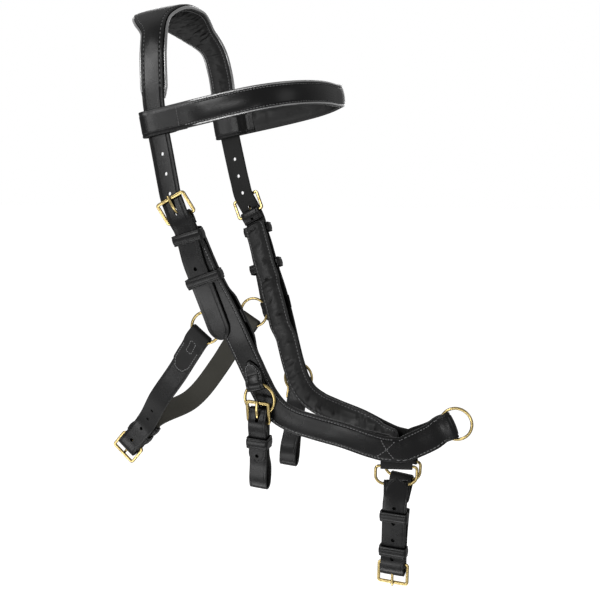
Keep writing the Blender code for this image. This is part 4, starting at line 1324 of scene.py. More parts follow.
    def build_keepers(self, billet: Route) -> None:
        """Place the fixed and running keepers round billet and cheek.

        Args:
            billet: Centre line of the crown strap.
        """
        for name, place in (("cheek_fixed_keeper", (49.5, 84, -217)),
                            ("cheek_running_keeper", (61.2, 78, -257))):
            spot, = right_points([place])
            over = billet.frame(billet.nearest(spot))
            under = self.route.frame(self.route.nearest(spot))
            hold = Seat((over[0] + under[0]) / 2, over[1] - under[1], under[3])
            sides, levels = [], []
            wide = self.wide(self.route.nearest(spot))
            for frame, width in ((over, STOCK.billet), (under, wide)):
                offset = frame[0] - hold.origin
                middle = offset.dot(hold.across)
                sides += [middle - width / 2, middle + width / 2]
                levels.append(offset.dot(hold.outward))
            origin = hold.point(0, (min(sides) + max(sides)) / 2, 0)
            hold = Seat(origin, over[1] * 0.7 - under[1], under[3])
            margin = STOCK.strap / 2 + 0.7 * MM
            shell = keeper_loop(hold, max(sides) - min(sides) + 3.6 * MM,
                                min(levels) - margin - 0.4 * MM, max(levels) + margin)
            self.bench.pair(name, Kind.LEATHER, shell)


@dataclass
class Crown(Assembly):
    """Crown strap with its two billets, and the padding under the poll.

    Attributes:
        cheek: The cheekpieces that hold the billets.
        width: Width at the poll.
        poll: Place of the strap's middle.
        tilt: Rise of the front edge over the rear edge.
        flare: Distance from the poll over which the strap is wide.
        neck: Distance from the poll at which it has narrowed.
        inset: Distance of the stitches from the edges.
        piping: Half thickness of the rolled rim.
    """

    cheek: Cheek
    width: float = 56 * MM
    poll: Triple = (-7 * MM, 0, 7.0 * MM)
    tilt: float = 0.12
    flare: float = 40 * MM
    neck: float = 82 * MM
    inset: float = 3.2 * MM
    piping: float = 1.6 * MM

    def __post_init__(self) -> None:
        """Work out the centre line and the ends of the padding."""
        half = self.lay_half()
        poll = (Vector(self.poll), Vector((1, 0, self.tilt)))
        self.route = Route(half + [poll] + other_half(half))
        self.middle = self.route.length / 2
        self.pad_end = self.route.nearest(right((16.5 * MM, 82 * MM, -80 * MM)))

    def lay_half(self) -> list[Station]:
        """Right half of the centre line, from the billet's tip up to the poll."""
        cheek, seat = self.cheek, self.cheek.seat
        tip = right_points([(77.6, 64, -314.5), (71.3, 70, -291), (61.2, 78, -257),
                            (55.4, 81, -238), (52.4, 83, -222)])
        stations = on_strap(cheek.route, tip, cheek.billet_n + 0.25 * MM)
        local = [(-11 * MM, cheek.billet_n + 0.2 * MM), (-3 * MM, cheek.over_bar),
                 (3 * MM, cheek.over_bar - 0.1 * MM), (12 * MM, cheek.under_free_bar + 1.4 * MM),
                 (20 * MM, cheek.under_free_bar)]
        stations += flat_stations(seat, local, seat.across)
        high = [(31, 84.6, -163), (26, 83.4, -140), (19.7, 82.5, -110), (16.6, 82.0, -93),
                (14.6, 80.2, -66), (12.6, 76.8, -45), (8.6, 66, -20.5), (-0.8, 47, -4.8),
                (-6, 25, 4.4)]
        for place in right_points(high):
            across = Vector((1, 0, blend(place.z, 0.18, self.tilt, -0.11, -0.005)))
            stations.append((place, across))
        return stations

    def wide(self, distance: float) -> float:
        """Width of the strap at a distance along it."""
        away = abs(distance - self.middle)
        wide = blend(away, self.width, STOCK.billet + 1 * MM, self.flare * 0.35, self.neck)
        return blend(away, wide, STOCK.billet, self.neck + 40 * MM, self.neck + 80 * MM)

    def pad_wide(self, distance: float) -> float:
        """Width of the padding at a distance along the strap."""
        away = abs(distance - self.middle)
        return blend(away, self.width + 1 * MM, STOCK.billet + 2 * MM, self.flare * 0.35,
                     self.neck)

    def raised(self, distance: float) -> float:
        """Height of the raised middle, flat on the billets."""
        return blend(abs(distance - self.middle), 1.6 * MM, 0.2 * MM, self.neck - 10 * MM,
                     self.neck + 20 * MM)

    def holes(self) -> list[Shell]:
        """Cutters of the punched holes; the hole in use is long."""
        seat = self.cheek.seat
        crossing = self.route.nearest(seat.point(6.2 * MM, 0, self.cheek.over_bar))
        cutters = []
        for side in (crossing, self.route.length - crossing):
            cutters.append(punch(seat_on(self.route, side), length=7.5 * MM))
        for step in (-3, 1, 2, 3):
            for side in (crossing + step * STOCK.pitch,
                         self.route.length - crossing - step * STOCK.pitch):
                cutters.append(punch(seat_on(self.route, side)))
        return cutters

    def build(self) -> None:
        """Place the leather, padding, rolled rims and stitches."""
        cut = Cut(self.wide, STOCK.strap, crease=self.inset, crease_depth=0.4 * MM,
                  groove=0.6 * MM, swell_out=self.raised, tip=14 * MM, heel=14 * MM)
        self.bench.place("crown_strap", Kind.LEATHER, cut.along(self.route), self.holes())
        surface = cut.surface
        span = (self.pad_end, self.route.length - self.pad_end)
        depth = -(STOCK.strap / 2 + STOCK.pad_gap + STOCK.pad / 2)
        cut = Cut(self.pad_wide, STOCK.pad, rounding=1.35 * MM, swell_in=STOCK.pad_rise,
                  tip=7 * MM, heel=7 * MM, step=1.6 * MM, ripple=0.08 * MM, pucker=2.2 * MM,
                  border=2.6 * MM)
        pad = self.bench.place("crown_padding", Kind.LINING,
                               cut.along(self.route, span, lambda distance: depth))
        shell = edge_seams(self.route,
                           steps_between((span[0] + 5 * MM, span[1] - 5 * MM), 40),
                           lambda d: self.pad_wide(d) / 2 - 2.8 * MM,
                           lambda d, w: depth - STOCK.pad / 2, LINING_SEEDS, -1)
        self.bench.place("crown_padding", Kind.PAD_SEAM, shell)
        self.roll_rims(span)
        self.sew(span, surface)

    def roll_rims(self, span: Pair) -> None:
        """Place the glossy rolled rims of the padding.

        Args:
            span: Padded part of the route.
        """
        level = -(STOCK.strap / 2 + STOCK.pad_gap + 0.5 * MM)

        def reach(distance: float) -> float:
            """Distance of the rim from the middle, at the strap's edge past the pad."""
            inside = min(distance - span[0], span[1] - distance)
            return blend(inside, self.wide(distance) / 2 - 0.3 * MM,
                         self.pad_wide(distance) / 2 + 0.7 * MM, -5 * MM, 5 * MM)

        shell = Shell()
        for sign in (-1, 1):
            shell.add(cord_along(self.route, (span[0] - 8 * MM, span[1] + 1.5 * MM),
                                 lambda d, s=sign: s * reach(d), level, self.piping))
        self.bench.place("crown_padding", Kind.RIMS, shell)

    def sew(self, span: Pair, surface: Height) -> None:
        """Place the stitch rows along both edges of the padded part.

        Args:
            span: Padded part of the route.
            surface: Height of the strap's outer face.
        """
        stops = steps_between((span[0] + 2 * MM, span[1] - 2 * MM), 60)
        shell = edge_seams(self.route, stops, lambda d: self.wide(d) / 2 - self.inset,
                           surface, (4, 6))
        self.bench.place("crown_strap", Kind.SEAM, shell)


@dataclass
class Browband(Assembly):
    """Browband with a loop at each end round the crown strap, and its lining.

    Attributes:
        loop: Place of the right loop.
        rise: Slope of the band towards the forehead.
        front: How far forward it reaches.
        lift: Height of the left loop over the right one.
        front_width: Width over the forehead.
        loop_width: Width at the loops.
        half_span: Distance of its sides from the middle.
        lining: Thickness of the lining.
        inset: Distance of the stitches from the edges.
    """

    loop: Triple = (19.9 * MM, 82.5 * MM, -109 * MM)
    rise: float = math.radians(10.5)
    front: float = 169.5 * MM
    lift: float = 6.5 * MM
    front_width: float = 22.5 * MM
    loop_width: float = 24.5 * MM
    half_span: float = 87 * MM
    lining: float = 2.0 * MM
    inset: float = 3.3 * MM

    def __post_init__(self) -> None:
        """Work out the centre line, with its outward side away from the head."""
        self.above = Vector((-math.sin(self.rise), 0, math.cos(self.rise)))
        self.bend = STOCK.strap + 3 * STOCK.gap
        self.route = self.lay_route(1)
        if self.route.frame(self.route.length / 2)[3].x < 0:
            self.route = self.lay_route(-1)
        self.middle = self.route.length / 2
        loop_y = -self.loop[1]
        self.start = self.route.nearest(self.point(30.6 * MM, loop_y - self.bend - 0.7 * MM))

    def point(self, forward: float, sideways: float) -> Vector:
        """Place in the band's tilted plane.

        Args:
            forward: Distance in front of the right loop.
            sideways: Distance to the left of the middle.

        Returns:
            The place, higher on the left.
        """
        ahead = Vector((math.cos(self.rise), 0, math.sin(self.rise)))
        reach = 0.75 * self.half_span
        up = blend(sideways, 0.0, self.lift, 0.0, reach)
        sideways -= blend(sideways, 0.0, 0.05 * self.lift, 0.0, reach)
        base = Vector((self.loop[0], 0, self.loop[2]))
        return base + ahead * forward + self.above * up + Vector((0, sideways, 0))

    def lay_route(self, sign: int) -> Route:
        """Centre line from one turned-in end round the forehead to the other.

        Args:
            sign: 1 or -1, the sense of the across direction.

        Returns:
            The centre line.
        """
        loop_y, bend = -self.loop[1], self.bend
        rear = -(STOCK.billet / 2 + 1.2 * MM)
        inner = loop_y - bend + STOCK.strap + STOCK.gap
        half = [(30 * MM, inner), (20 * MM, inner + 0.3 * MM),
                (14.5 * MM, loop_y + bend - 0.6 * MM), (10 * MM, loop_y + bend),
                (0, loop_y + bend)]
        half += arc(rear, loop_y, bend, 90, 270, 6)
        half += [(0, loop_y - bend), (14 * MM, loop_y - bend),
                 (34 * MM, loop_y - bend - 0.6 * MM), (58 * MM, -self.half_span)]
        centre = 80 * MM
        reach = (self.front - self.loop[0]) / math.cos(self.rise) - centre
        curve = []
        for k in (0, 2, 3, 4, 5, 6, 7, 8, 9):
            angle, shape = math.radians(90 * k / 10), 2 / 2.3
            curve.append((centre + reach * math.sin(angle) ** shape,
                          -self.half_span * math.cos(angle) ** shape))
        half += curve
        line = half + [(centre + reach, 0.0)] + [(f, -y) for f, y in reversed(half)]
        return Route([(self.point(f, y), self.above * sign) for f, y in line])

    def wide(self, distance: float) -> float:
        """Width of the band at a distance along it."""
        away = abs(distance - self.middle)
        return blend(away, self.front_width, self.loop_width, 0.2 * self.middle,
                     0.6 * self.middle)

    def raised(self, distance: float) -> float:
        """Height of the band's raised middle, flat at the loops."""
        away = abs(distance - self.middle)
        flat = self.middle - self.start
        return blend(away, 1.25 * MM, 0.0, flat - 26 * MM, flat - 4 * MM)

    def build(self) -> None:
        """Place the band, its lining, edge lines and stitches."""
        cut = Cut(self.wide, STOCK.strap, crease=self.inset, crease_depth=0.45 * MM,
                  groove=0.6 * MM, swell_out=self.raised)
        self.bench.place("browband", Kind.LEATHER, cut.along(self.route))
        surface = cut.surface
        depth = -(STOCK.strap + self.lining + 2 * STOCK.gap) / 2
        cut = Cut(lambda d: self.wide(d) - 1 * MM, self.lining, rounding=0.9 * MM,
                  pucker=0.8 * MM, swell_in=1.5 * MM, border=2.6 * MM, step=2 * MM)
        span = (self.start, self.route.length - self.start)
        pad = self.bench.place("browband_padding", Kind.LINING,
                               cut.along(self.route, span, lambda distance: depth))
        self.trim(span, surface)

    def trim(self, span: Pair, surface: Height) -> None:
        """Place the glossy lines beside the raised middle, and stitches at the loops.

        Args:
            span: Lined part of the route.
            surface: Height of the band's outer face.
        """
        shell = Shell()
        for sign in (-1, 1):
            shell.add(cord_along(self.route, (span[0] + 8 * MM, span[1] - 8 * MM),
                                 lambda d, s=sign: s * (self.wide(d) / 2 - 1.4 * MM),
                                 STOCK.strap / 2 + 0.1 * MM, 0.8 * MM, sides=8))
        self.bench.place("browband", Kind.EDGES, shell)
        shell = edge_seams(self.route, steps_between(span, 60),
                           lambda d: self.wide(d) / 2 - self.inset, surface, (3, 3))
        thread = Thread(pitch=2.6 * MM, length=1.9 * MM, radius=0.3 * MM)
        reach = self.wide(span[0]) / 2 - 3.4 * MM
        for distance in (span[0] - 6 * MM, self.route.length - span[0] + 6 * MM):
            shell.add(thread.lay(self.route, [(distance, -reach), (distance, reach)], surface))
        self.bench.place("browband", Kind.SEAM, shell)


@dataclass
class FoldedBillet(Assembly):
    """A strap below the head, whose billet turns back inside its buckle.

    Attributes:
        cheek: The cheekpieces that the strap hangs from.
        fold_s: Distance of the billet's fold from the pivot bar.
        free_n: Level of the free bar.
    """

    cheek: Cheek
    fold_s: float = 4.6 * MM
    free_n: float = 0.4 * MM

    def fold(self, low: float) -> list[Pair]:
        """Path of the billet from the pivot bar round its fold and back below the strap.

        Args:
            low: Level of the billet below the strap.

        Returns:
            Points in the buckle's s and n plane.
        """
        path = [(-3 * MM, -low - 0.3 * MM)] + arc(self.fold_s, 0, -low, 90, -90, 8)
        return path + [(-8 * MM, low), (-22 * MM, low)]

    def fold_hole(self, route: Route, seat: Seat, low: float) -> Shell:
        """Cutter of the hole in use, long because it lies on the fold."""
        apex = route.nearest(seat.point(self.fold_s - low, 0, 1.8 * MM))
        return punch(seat_on(route, apex), length=9 * MM, depth=4 * MM)

    def build_buckle(self, node: str, seat: Seat, width: float) -> None:
        """Place the buckle with a tongue that passes through the fold.

        Args:
            node: Start of the nodes' names.
            seat: Axes of the buckle.
            width: Width of the strap in it.
        """
        rest = self.free_n + STOCK.buckle_wire + STOCK.gap + STOCK.tongue_wire
        reach = [(6 * MM, 2.7 * MM), (12 * MM, 2.8 * MM), (19 * MM, rest), (22.6 * MM, rest)]
        self.bench.buckle(node, Buckle(seat, width, 0.0, self.free_n), reach)


@dataclass
class JowlStrap(FoldedBillet):
    """Jowl rings in their tabs, and the strap that joins them under the jaw.

    Attributes:
        width: Width of the strap.
        buckle: Place of the buckle's pivot bar.
        slope: Slope of the strap at its buckle.
        tab_width: Width of the ring tabs.
    """

    width: float = 23 * MM
    buckle: Triple = (-62 * MM, -1 * MM, -445 * MM)
    slope: float = math.radians(49)
    tab_width: float = 14 * MM

    def __post_init__(self) -> None:
        """Work out the levels of the folds and the two centre lines."""
        self.centre = right(self.cheek.jowl_ring)
        self.step = STOCK.strap + STOCK.gap
        self.level = self.step / 2
        self.tail = self.level + self.step + 0.1 * MM
        self.low = -(self.level + STOCK.strap + STOCK.keeper + 4 * STOCK.gap)
        self.seat = Seat(right(self.buckle), (-math.cos(self.slope), 0, -math.sin(self.slope)),
                         (0, 1, 0))
        self.buckle_route = self.lay_buckle_end()
        self.billet_route = self.lay_billet()

    def ring_end(self, centre: Vector, lean: float, side: int, slope: float,
                 turn_back: float) -> tuple[list[Pair], Seat]:
        """Path of a strap's end round its ring.

        Args:
            centre: Middle of the ring.
            lean: Angle by which the strap hangs back.
            side: Direction away from the head.
            slope: Inward drift for each unit below the ring.
            turn_back: Length of the turned-back end.

        Returns:
            The path from the strap to the end of its turn-back, and its axes.
        """
        seat = Seat(centre, (-math.sin(lean), 0, -math.cos(lean)), (0, side, 0))
        fold, bend = ring_fold(self.width, STOCK.strap)
        clear = STOCK.ring_radius + STOCK.ring_wire + 0.6 * MM

        def level(s: float) -> float:
            """Level of the strap at a distance below the ring."""
            return (-bend * blend(s, 1.0, 0.75, clear, clear + 20 * MM)
                    - slope * max(s - clear, 0))

        reach = fold + turn_back
        stops = [clear + (reach - clear) * share for share in (0, 0.25, 0.5, 0.75, 1)]
        path = [(s, level(s)) for s in reversed(stops)]
        path += arc(fold, 0, bend, -90, -270, 6) + [(clear, bend)]
        path += [(s, level(s) + self.step + 0.3 * MM) for s in stops[1:]]
        return path, seat

    def lay_buckle_end(self) -> Route:
        """Centre line of the half that hangs from the left ring."""
        seat = self.seat
        chape = chape_points(0.0, STOCK.strap, 15 * MM, self.level)
        stations = flat_stations(seat, chape, -seat.across)
        stations += flat_stations(seat, [(-18 * MM, self.level + 0.3 * MM),
                                         (-32 * MM, self.level + 3.0 * MM)], -seat.across)
        path, left = self.ring_end(mirror_point(self.centre), math.radians(31), 1, 0.36, 30 * MM)
        for place in ((-3, 27, -399), (24, 42, -362)):
            stations.append((Vector(place) * MM, -left.across))
        return Route(stations + flat_stations(left, path, -left.across))

    def lay_billet(self) -> Route:
        """Centre line of the half that hangs from the right ring."""
        seat, tail, low = self.seat, self.tail, self.low
        over = [seat.point(s * MM, 0, self.level) for s in (-46, -32, -18)]
        stations = on_strap(self.buckle_route, over, self.step + 0.2 * MM)
        path = [(-9 * MM, tail + 0.5 * MM)] + self.fold(low)
        stations += flat_stations(seat, path, seat.across)
        stations.append((Vector((-9 * MM, -34 * MM, -385 * MM)), seat.across))
        path, near = self.ring_end(self.centre, math.radians(38.5), -1, 0.27, 50 * MM)
        return Route(stations + flat_stations(near, path, -near.across))

    def build(self) -> None:
        """Place rings, tabs, both halves, hardware, keepers and stitches."""
        self.bench.pair("jowl_ring", Kind.WIRE, ring_shell(self.centre, Vector((0, 1, 0))))
        self.build_tab()
        seat, route = self.seat, self.buckle_route
        cut = Cut(self.width, STOCK.strap, crease=2.1 * MM)
        self.bench.place("jowl_buckle_strap", Kind.BARE, cut.along(route),
                         [slot_cutter(seat, 0.0, STOCK.strap)])
        cut = Cut(self.width, STOCK.strap, crease=2.1 * MM, crease_depth=0.26 * MM,
                  tip=12 * MM, heel=12 * MM, end=End.POINTED)
        self.bench.place("jowl_billet", Kind.LEATHER, cut.along(self.billet_route), self.holes())
        self.build_buckle("jowl", seat, self.width)
        self.build_keepers()
        self.sew()

    def build_tab(self) -> None:
        """Place the tabs that hold the rings to the cheekpieces."""
        far, bend = ring_fold(self.tab_width, STOCK.tab)
        tilt = math.radians(19.8)
        seat = Seat(self.centre, Vector((math.cos(tilt), 0, math.sin(tilt))), (0, -1, 0))
        outer = -(STOCK.strap / 2 + STOCK.gap + STOCK.tab / 2 + 0.4 * MM)
        inner = outer - STOCK.tab - STOCK.gap - 0.1 * MM
        sewn = [seat.point(far + reach * MM, 0, 0) for reach in (30, 22, 15, 11)]
        stations = on_strap(self.cheek.route, sewn, outer)
        path = [(far + 3.5 * MM, bend)] + arc(far, 0, bend, 90, 270, 6)
        path += [(far + 3.5 * MM, -bend)]
        stations += flat_stations(seat, path, -seat.across)
        sewn = [seat.point(far + reach * MM, 0, 0) for reach in (11, 15, 22, 28)]
        stations += on_strap(self.cheek.route, sewn, inner, turned=True)
        route = Route(stations)
        cut = Cut(self.tab_width, STOCK.tab, rounding=0.5 * MM)
        self.bench.pair("jowl_tab", Kind.LEATHER, cut.along(route))

    def holes(self) -> list[Shell]:
        """Cutters of the billet's holes, the one in use on its bend."""
        route, seat = self.billet_route, self.seat
        cutters = [self.fold_hole(route, seat, self.low)]
        ahead = route.nearest(seat.point(-4 * MM, 0, self.low))
        for k in range(4):
            cutters.append(punch(seat_on(route, ahead + k * 18.5 * MM), depth=2.2 * MM))
        return cutters

    def build_keepers(self) -> None:
        """Place the fixed and the running keeper."""
        half, route = STOCK.strap / 2, self.buckle_route
        for name, s, under, over in (("jowl_fixed_keeper", -12.5, self.step, 1.3),
                                     ("jowl_running_keeper", -26, 0.1 * MM, 1.3)):
            spot = route.nearest(self.seat.point(s * MM, 0, self.level))
            shell = keeper_loop(seat_on(route, spot), self.width + 0.6 * MM,
                                -half - under - 0.4 * MM, half + self.step + over * MM)
            self.bench.place(name, Kind.LEATHER, shell)

    def sew(self) -> None:
        """Place the stitches of the turned-back ends."""
        route = self.billet_route
        fold = route.nearest(self.centre + Vector((0, 0, -10 * MM)), route.length * 0.6)
        end = route.length
        reach = self.width / 2 - 2.6 * MM
        line = [(fold + 24 * MM, -reach), (end - 12 * MM, -reach), (end - 3.6 * MM, -reach * 0.55),
                (end - 2.4 * MM, 0), (end - 3.6 * MM, reach * 0.55), (end - 12 * MM, reach),
                (fold + 24 * MM, reach)]
        thread = Thread(pitch=3.1 * MM, length=2.3 * MM, radius=0.5 * MM, face=-1)
        shell = thread.lay(route, line, lambda d, w: -STOCK.strap / 2)
        near, far, reach = fold + 14 * MM, fold + 30 * MM, 3.2 * MM
        line = [(near, -reach), (far, -reach), (far, reach), (near, reach), (near, -reach)]
        shell.add(thread.lay(route, line, lambda d, w: -STOCK.strap / 2))
        self.bench.place("jowl_billet", Kind.SEAM, shell)


@dataclass
class BitStraps(Assembly):
    """Bit tabs sewn on the cheeks, bit rings, and the straps that hold the bit.

    Attributes:
        cheek: The cheekpieces that the tabs are sewn to.
        width: Width of straps and tabs.
        ring: Place of the right ring.
        tilt: Outward lean of the hanging strap.
        hang: Angle by which it hangs back.
        lean: Angle of the tab's pull on the ring.
    """

    cheek: Cheek
    width: float = 18 * MM
    ring: Triple = (111 * MM, 54.6 * MM, -373 * MM)
    tilt: float = math.radians(6)
    hang: float = math.radians(3.6)
    lean: float = math.radians(18)

    def __post_init__(self) -> None:
        """Work out the axes and levels of ring and bar."""
        self.centre = right(self.ring)
        self.up = Vector((math.sin(self.hang), -math.sin(self.tilt),
                          math.cos(self.tilt))).normalized()
        self.outward = Vector((0, -math.cos(self.tilt), -math.sin(self.tilt)))
        self.pivot_s, self.pivot_n = 23 * MM, 1.0 * MM
        self.bar = Seat(self.centre - self.up * self.pivot_s, self.up, self.outward)
        loop = STOCK.buckle_wire + STOCK.gap + STOCK.light / 2
        self.front = 1.5 * MM
        self.back = self.pivot_n - loop - STOCK.light - STOCK.gap - 0.3 * MM
        self.over = self.pivot_n + loop + STOCK.light + 2.2 * STOCK.gap
        self.tail = self.front + STOCK.light + STOCK.gap

    def build(self) -> None:
        """Place rings, tabs, straps, hardware and keepers of both sides."""
        self.bench.pair("bit_ring", Kind.WIRE, ring_shell(self.centre, self.outward))
        self.build_tab()
        self.build_strap()
        buckle = Buckle(self.bar, self.width, self.pivot_n, 5.0 * MM, 21 * MM, 0.7 * MM)
        rest = 5.0 * MM + STOCK.buckle_wire + STOCK.gap + STOCK.tongue_wire
        reach = [(3.3 * MM, 3.6 * MM), (6.4 * MM, 6.2 * MM), (11 * MM, rest), (21 * MM, rest),
                 (23.2 * MM, rest)]
        self.bench.buckle("bit", buckle, reach, both=True)
        hold = Seat(self.bar.point(-21 * MM, 0, 0), self.up, self.outward)
        shell = keeper_loop(hold, self.width + 0.6 * MM,
                            self.back - 1.4 * MM - STOCK.light / 2,
                            self.tail + STOCK.light / 2 + 0.8 * MM, band=11 * MM)
        self.bench.pair("bit_keeper", Kind.LEATHER, shell)

    def build_tab(self) -> None:
        """Place the tabs, pointed and stitched on the cheek's outer side."""
        far, bend = ring_fold(self.width, STOCK.tab)
        seat = Seat(self.centre,
                    self.up * math.cos(self.lean) - Vector((math.sin(self.lean), 0, 0)),
                    self.outward)
        inner = STOCK.strap / 2 + STOCK.gap + STOCK.tab / 2 + 0.1 * MM
        outer = inner + STOCK.tab + STOCK.gap + 0.1 * MM
        sewn = [seat.point(far + reach * MM, 0, 0) for reach in (27, 21, 16.5, 13)]
        stations = on_strap(self.cheek.route, sewn, outer)
        path = [(far + 4 * MM, bend)] + arc(far, 0, bend, 90, 270, 6) + [(far + 4 * MM, -bend)]
        stations += flat_stations(seat, path, -seat.across)
        sewn = [seat.point(far + reach * MM, 0, 0) for reach in (11, 14.5, 19)]
        stations += on_strap(self.cheek.route, sewn, inner, turned=True)
        route = Route(stations)
        cut = Cut(self.width, STOCK.tab, rounding=0.5 * MM, heel=14 * MM, end=End.POINTED,
                  crease=2.4 * MM, crease_depth=0.4 * MM, groove=0.6 * MM, swell_out=0.6 * MM)
        self.bench.pair("bit_tab", Kind.LEATHER, cut.along(route))
        reach = self.width / 2 - 2.4 * MM
        line = [(21 * MM, -reach), (12.5 * MM, -reach), (5 * MM, -reach * 0.6), (2.6 * MM, 0),
                (5 * MM, reach * 0.6), (12.5 * MM, reach), (21 * MM, reach)]
        thread = Thread(pitch=2.9 * MM, length=2.1 * MM, radius=0.45 * MM)
        self.bench.pair("bit_tab", Kind.SEAM, thread.lay(route, line, cut.surface))

    def build_strap(self) -> None:
        """Place the strap, folded round bar and ring and open at the bottom for the bit."""
        bar, front, back, over = self.bar, self.front, self.back, self.over
        fold, bend = ring_fold(self.width, STOCK.light)
        bottom = self.pivot_s - 94 * MM
        path = chape_points(self.pivot_n, STOCK.light, 14 * MM, front)
        path += [(-22 * MM, front), (-44 * MM, front - 0.3 * MM)]
        path += arc(bottom + 6.5 * MM, front - 6 * MM, 6 * MM, 90, 270, 6)
        path += [(bottom + 21 * MM, front - 12.6 * MM), (-34 * MM, back - 0.9 * MM),
                 (-22 * MM, back - 0.2 * MM), (0, back),
                 (self.pivot_s - fold - 3.4 * MM, -bend - 0.3 * MM)]
        path += arc(self.pivot_s - fold, 0, bend, -90, 90, 6)
        path += [(7.6 * MM, over - 2.4 * MM), (4.2 * MM, over - 0.8 * MM), (0, over + 0.15 * MM),
                 (-6 * MM, over - 0.1 * MM), (-15 * MM, self.tail + 0.7 * MM),
                 (-22 * MM, self.tail + 0.1 * MM), (-41 * MM, self.tail)]
        route = Route(flat_stations(bar, path, -bar.across))
        half = route.length / 2
        crossing = route.nearest(bar.point(5.3 * MM, 0, over - 1.4 * MM), half)
        spare = route.nearest(bar.point(-34 * MM, 0, self.tail), half)
        cutters = [slot_cutter(bar, self.pivot_n, STOCK.light),
                   punch(seat_on(route, crossing), length=8.8 * MM, depth=2.7 * MM),
                   punch(seat_on(route, spare), depth=1.25 * MM)]
        cut = Cut(self.width, STOCK.light, crease=1.9 * MM, crease_depth=0.24 * MM, tip=9 * MM,
                  rounding=0.7 * MM, step=2.2 * MM)
        self.bench.pair("bit_strap", Kind.LEATHER, cut.along(route), cutters)


@dataclass
class Noseband(Assembly):
    """Front nose strap between the two corners, and the ring in its bend.

    Attributes:
        cheek: The cheekpieces that carry it.
        width: Width of the strap.
        apex: Middle of its bend round the ring.
        rise: Slope of the bend.
    """

    cheek: Cheek
    width: float = 26 * MM
    apex: Triple = (286 * MM, 0, -397.5 * MM)
    rise: float = math.radians(24)

    def wide(self, distance: float) -> float:
        """Width at a distance from the corner, where it meets the cheek's."""
        return blend(distance, self.cheek.width, self.width, 2 * MM, 16 * MM)

    def build(self) -> None:
        """Place the strap, its ring and the stitches at the corners."""
        end = self.cheek.route.frame(self.cheek.route.length)
        apex = Vector(self.apex)
        ahead = Vector((math.cos(self.rise), 0, math.sin(self.rise)))
        above = Vector((-math.sin(self.rise), 0, math.cos(self.rise)))
        bend = STOCK.ring_wire + 2 * STOCK.gap + STOCK.strap / 2
        half = [(end[0] + end[1] * 0.03 * MM, -end[2]), (end[0] + end[1] * 5 * MM, -end[2])]
        places = right_points([(251, 14.0, -417.6), (259.5, 11.0, -413.5), (271, 7.2, -407.0)])
        half += list(zip(places, (Vector((-0.15, 0, 1)), Vector((-0.3, 0, 1)), above)))
        seat = Seat(apex, ahead, (0, -1, 0))
        half += flat_stations(seat, [(-8 * MM, bend + 0.7 * MM), (-3 * MM, bend)], above)
        turn = flat_stations(seat, arc(0, 0, bend, 90, 0, 3), above)
        half += turn[:-1]
        line = half + [turn[-1]] + other_half(half)
        route = Route([(place, -across) for place, across in line])
        cut = Cut(lambda d: self.wide(min(d, route.length - d)), STOCK.strap,
                  crease=self.cheek.inset, crease_depth=0.4 * MM, groove=0.6 * MM,
                  swell_out=1.2 * MM)
        self.bench.place("nose_strap", Kind.LEATHER, cut.along(route))
        chord, _ = ring_fold(self.width, STOCK.strap)
        self.bench.place("nose_ring", Kind.WIRE,
                         ring_shell(apex + ahead * chord, Vector((0, 1, 0))))
        shell = Shell()
        for sign in (-1, 1):
            stops = [(d, sign * (self.wide(d) / 2 - self.cheek.inset))
                     for d in (1 * MM, 8 * MM, 16 * MM, 0.4 * route.length)]
            shell.add(Thread().lay(route, stops, cut.surface))
            stops = [(route.length - d, w) for d, w in stops]
            shell.add(Thread().lay(route, stops, cut.surface))
        self.bench.place("nose_strap", Kind.SEAM, shell)


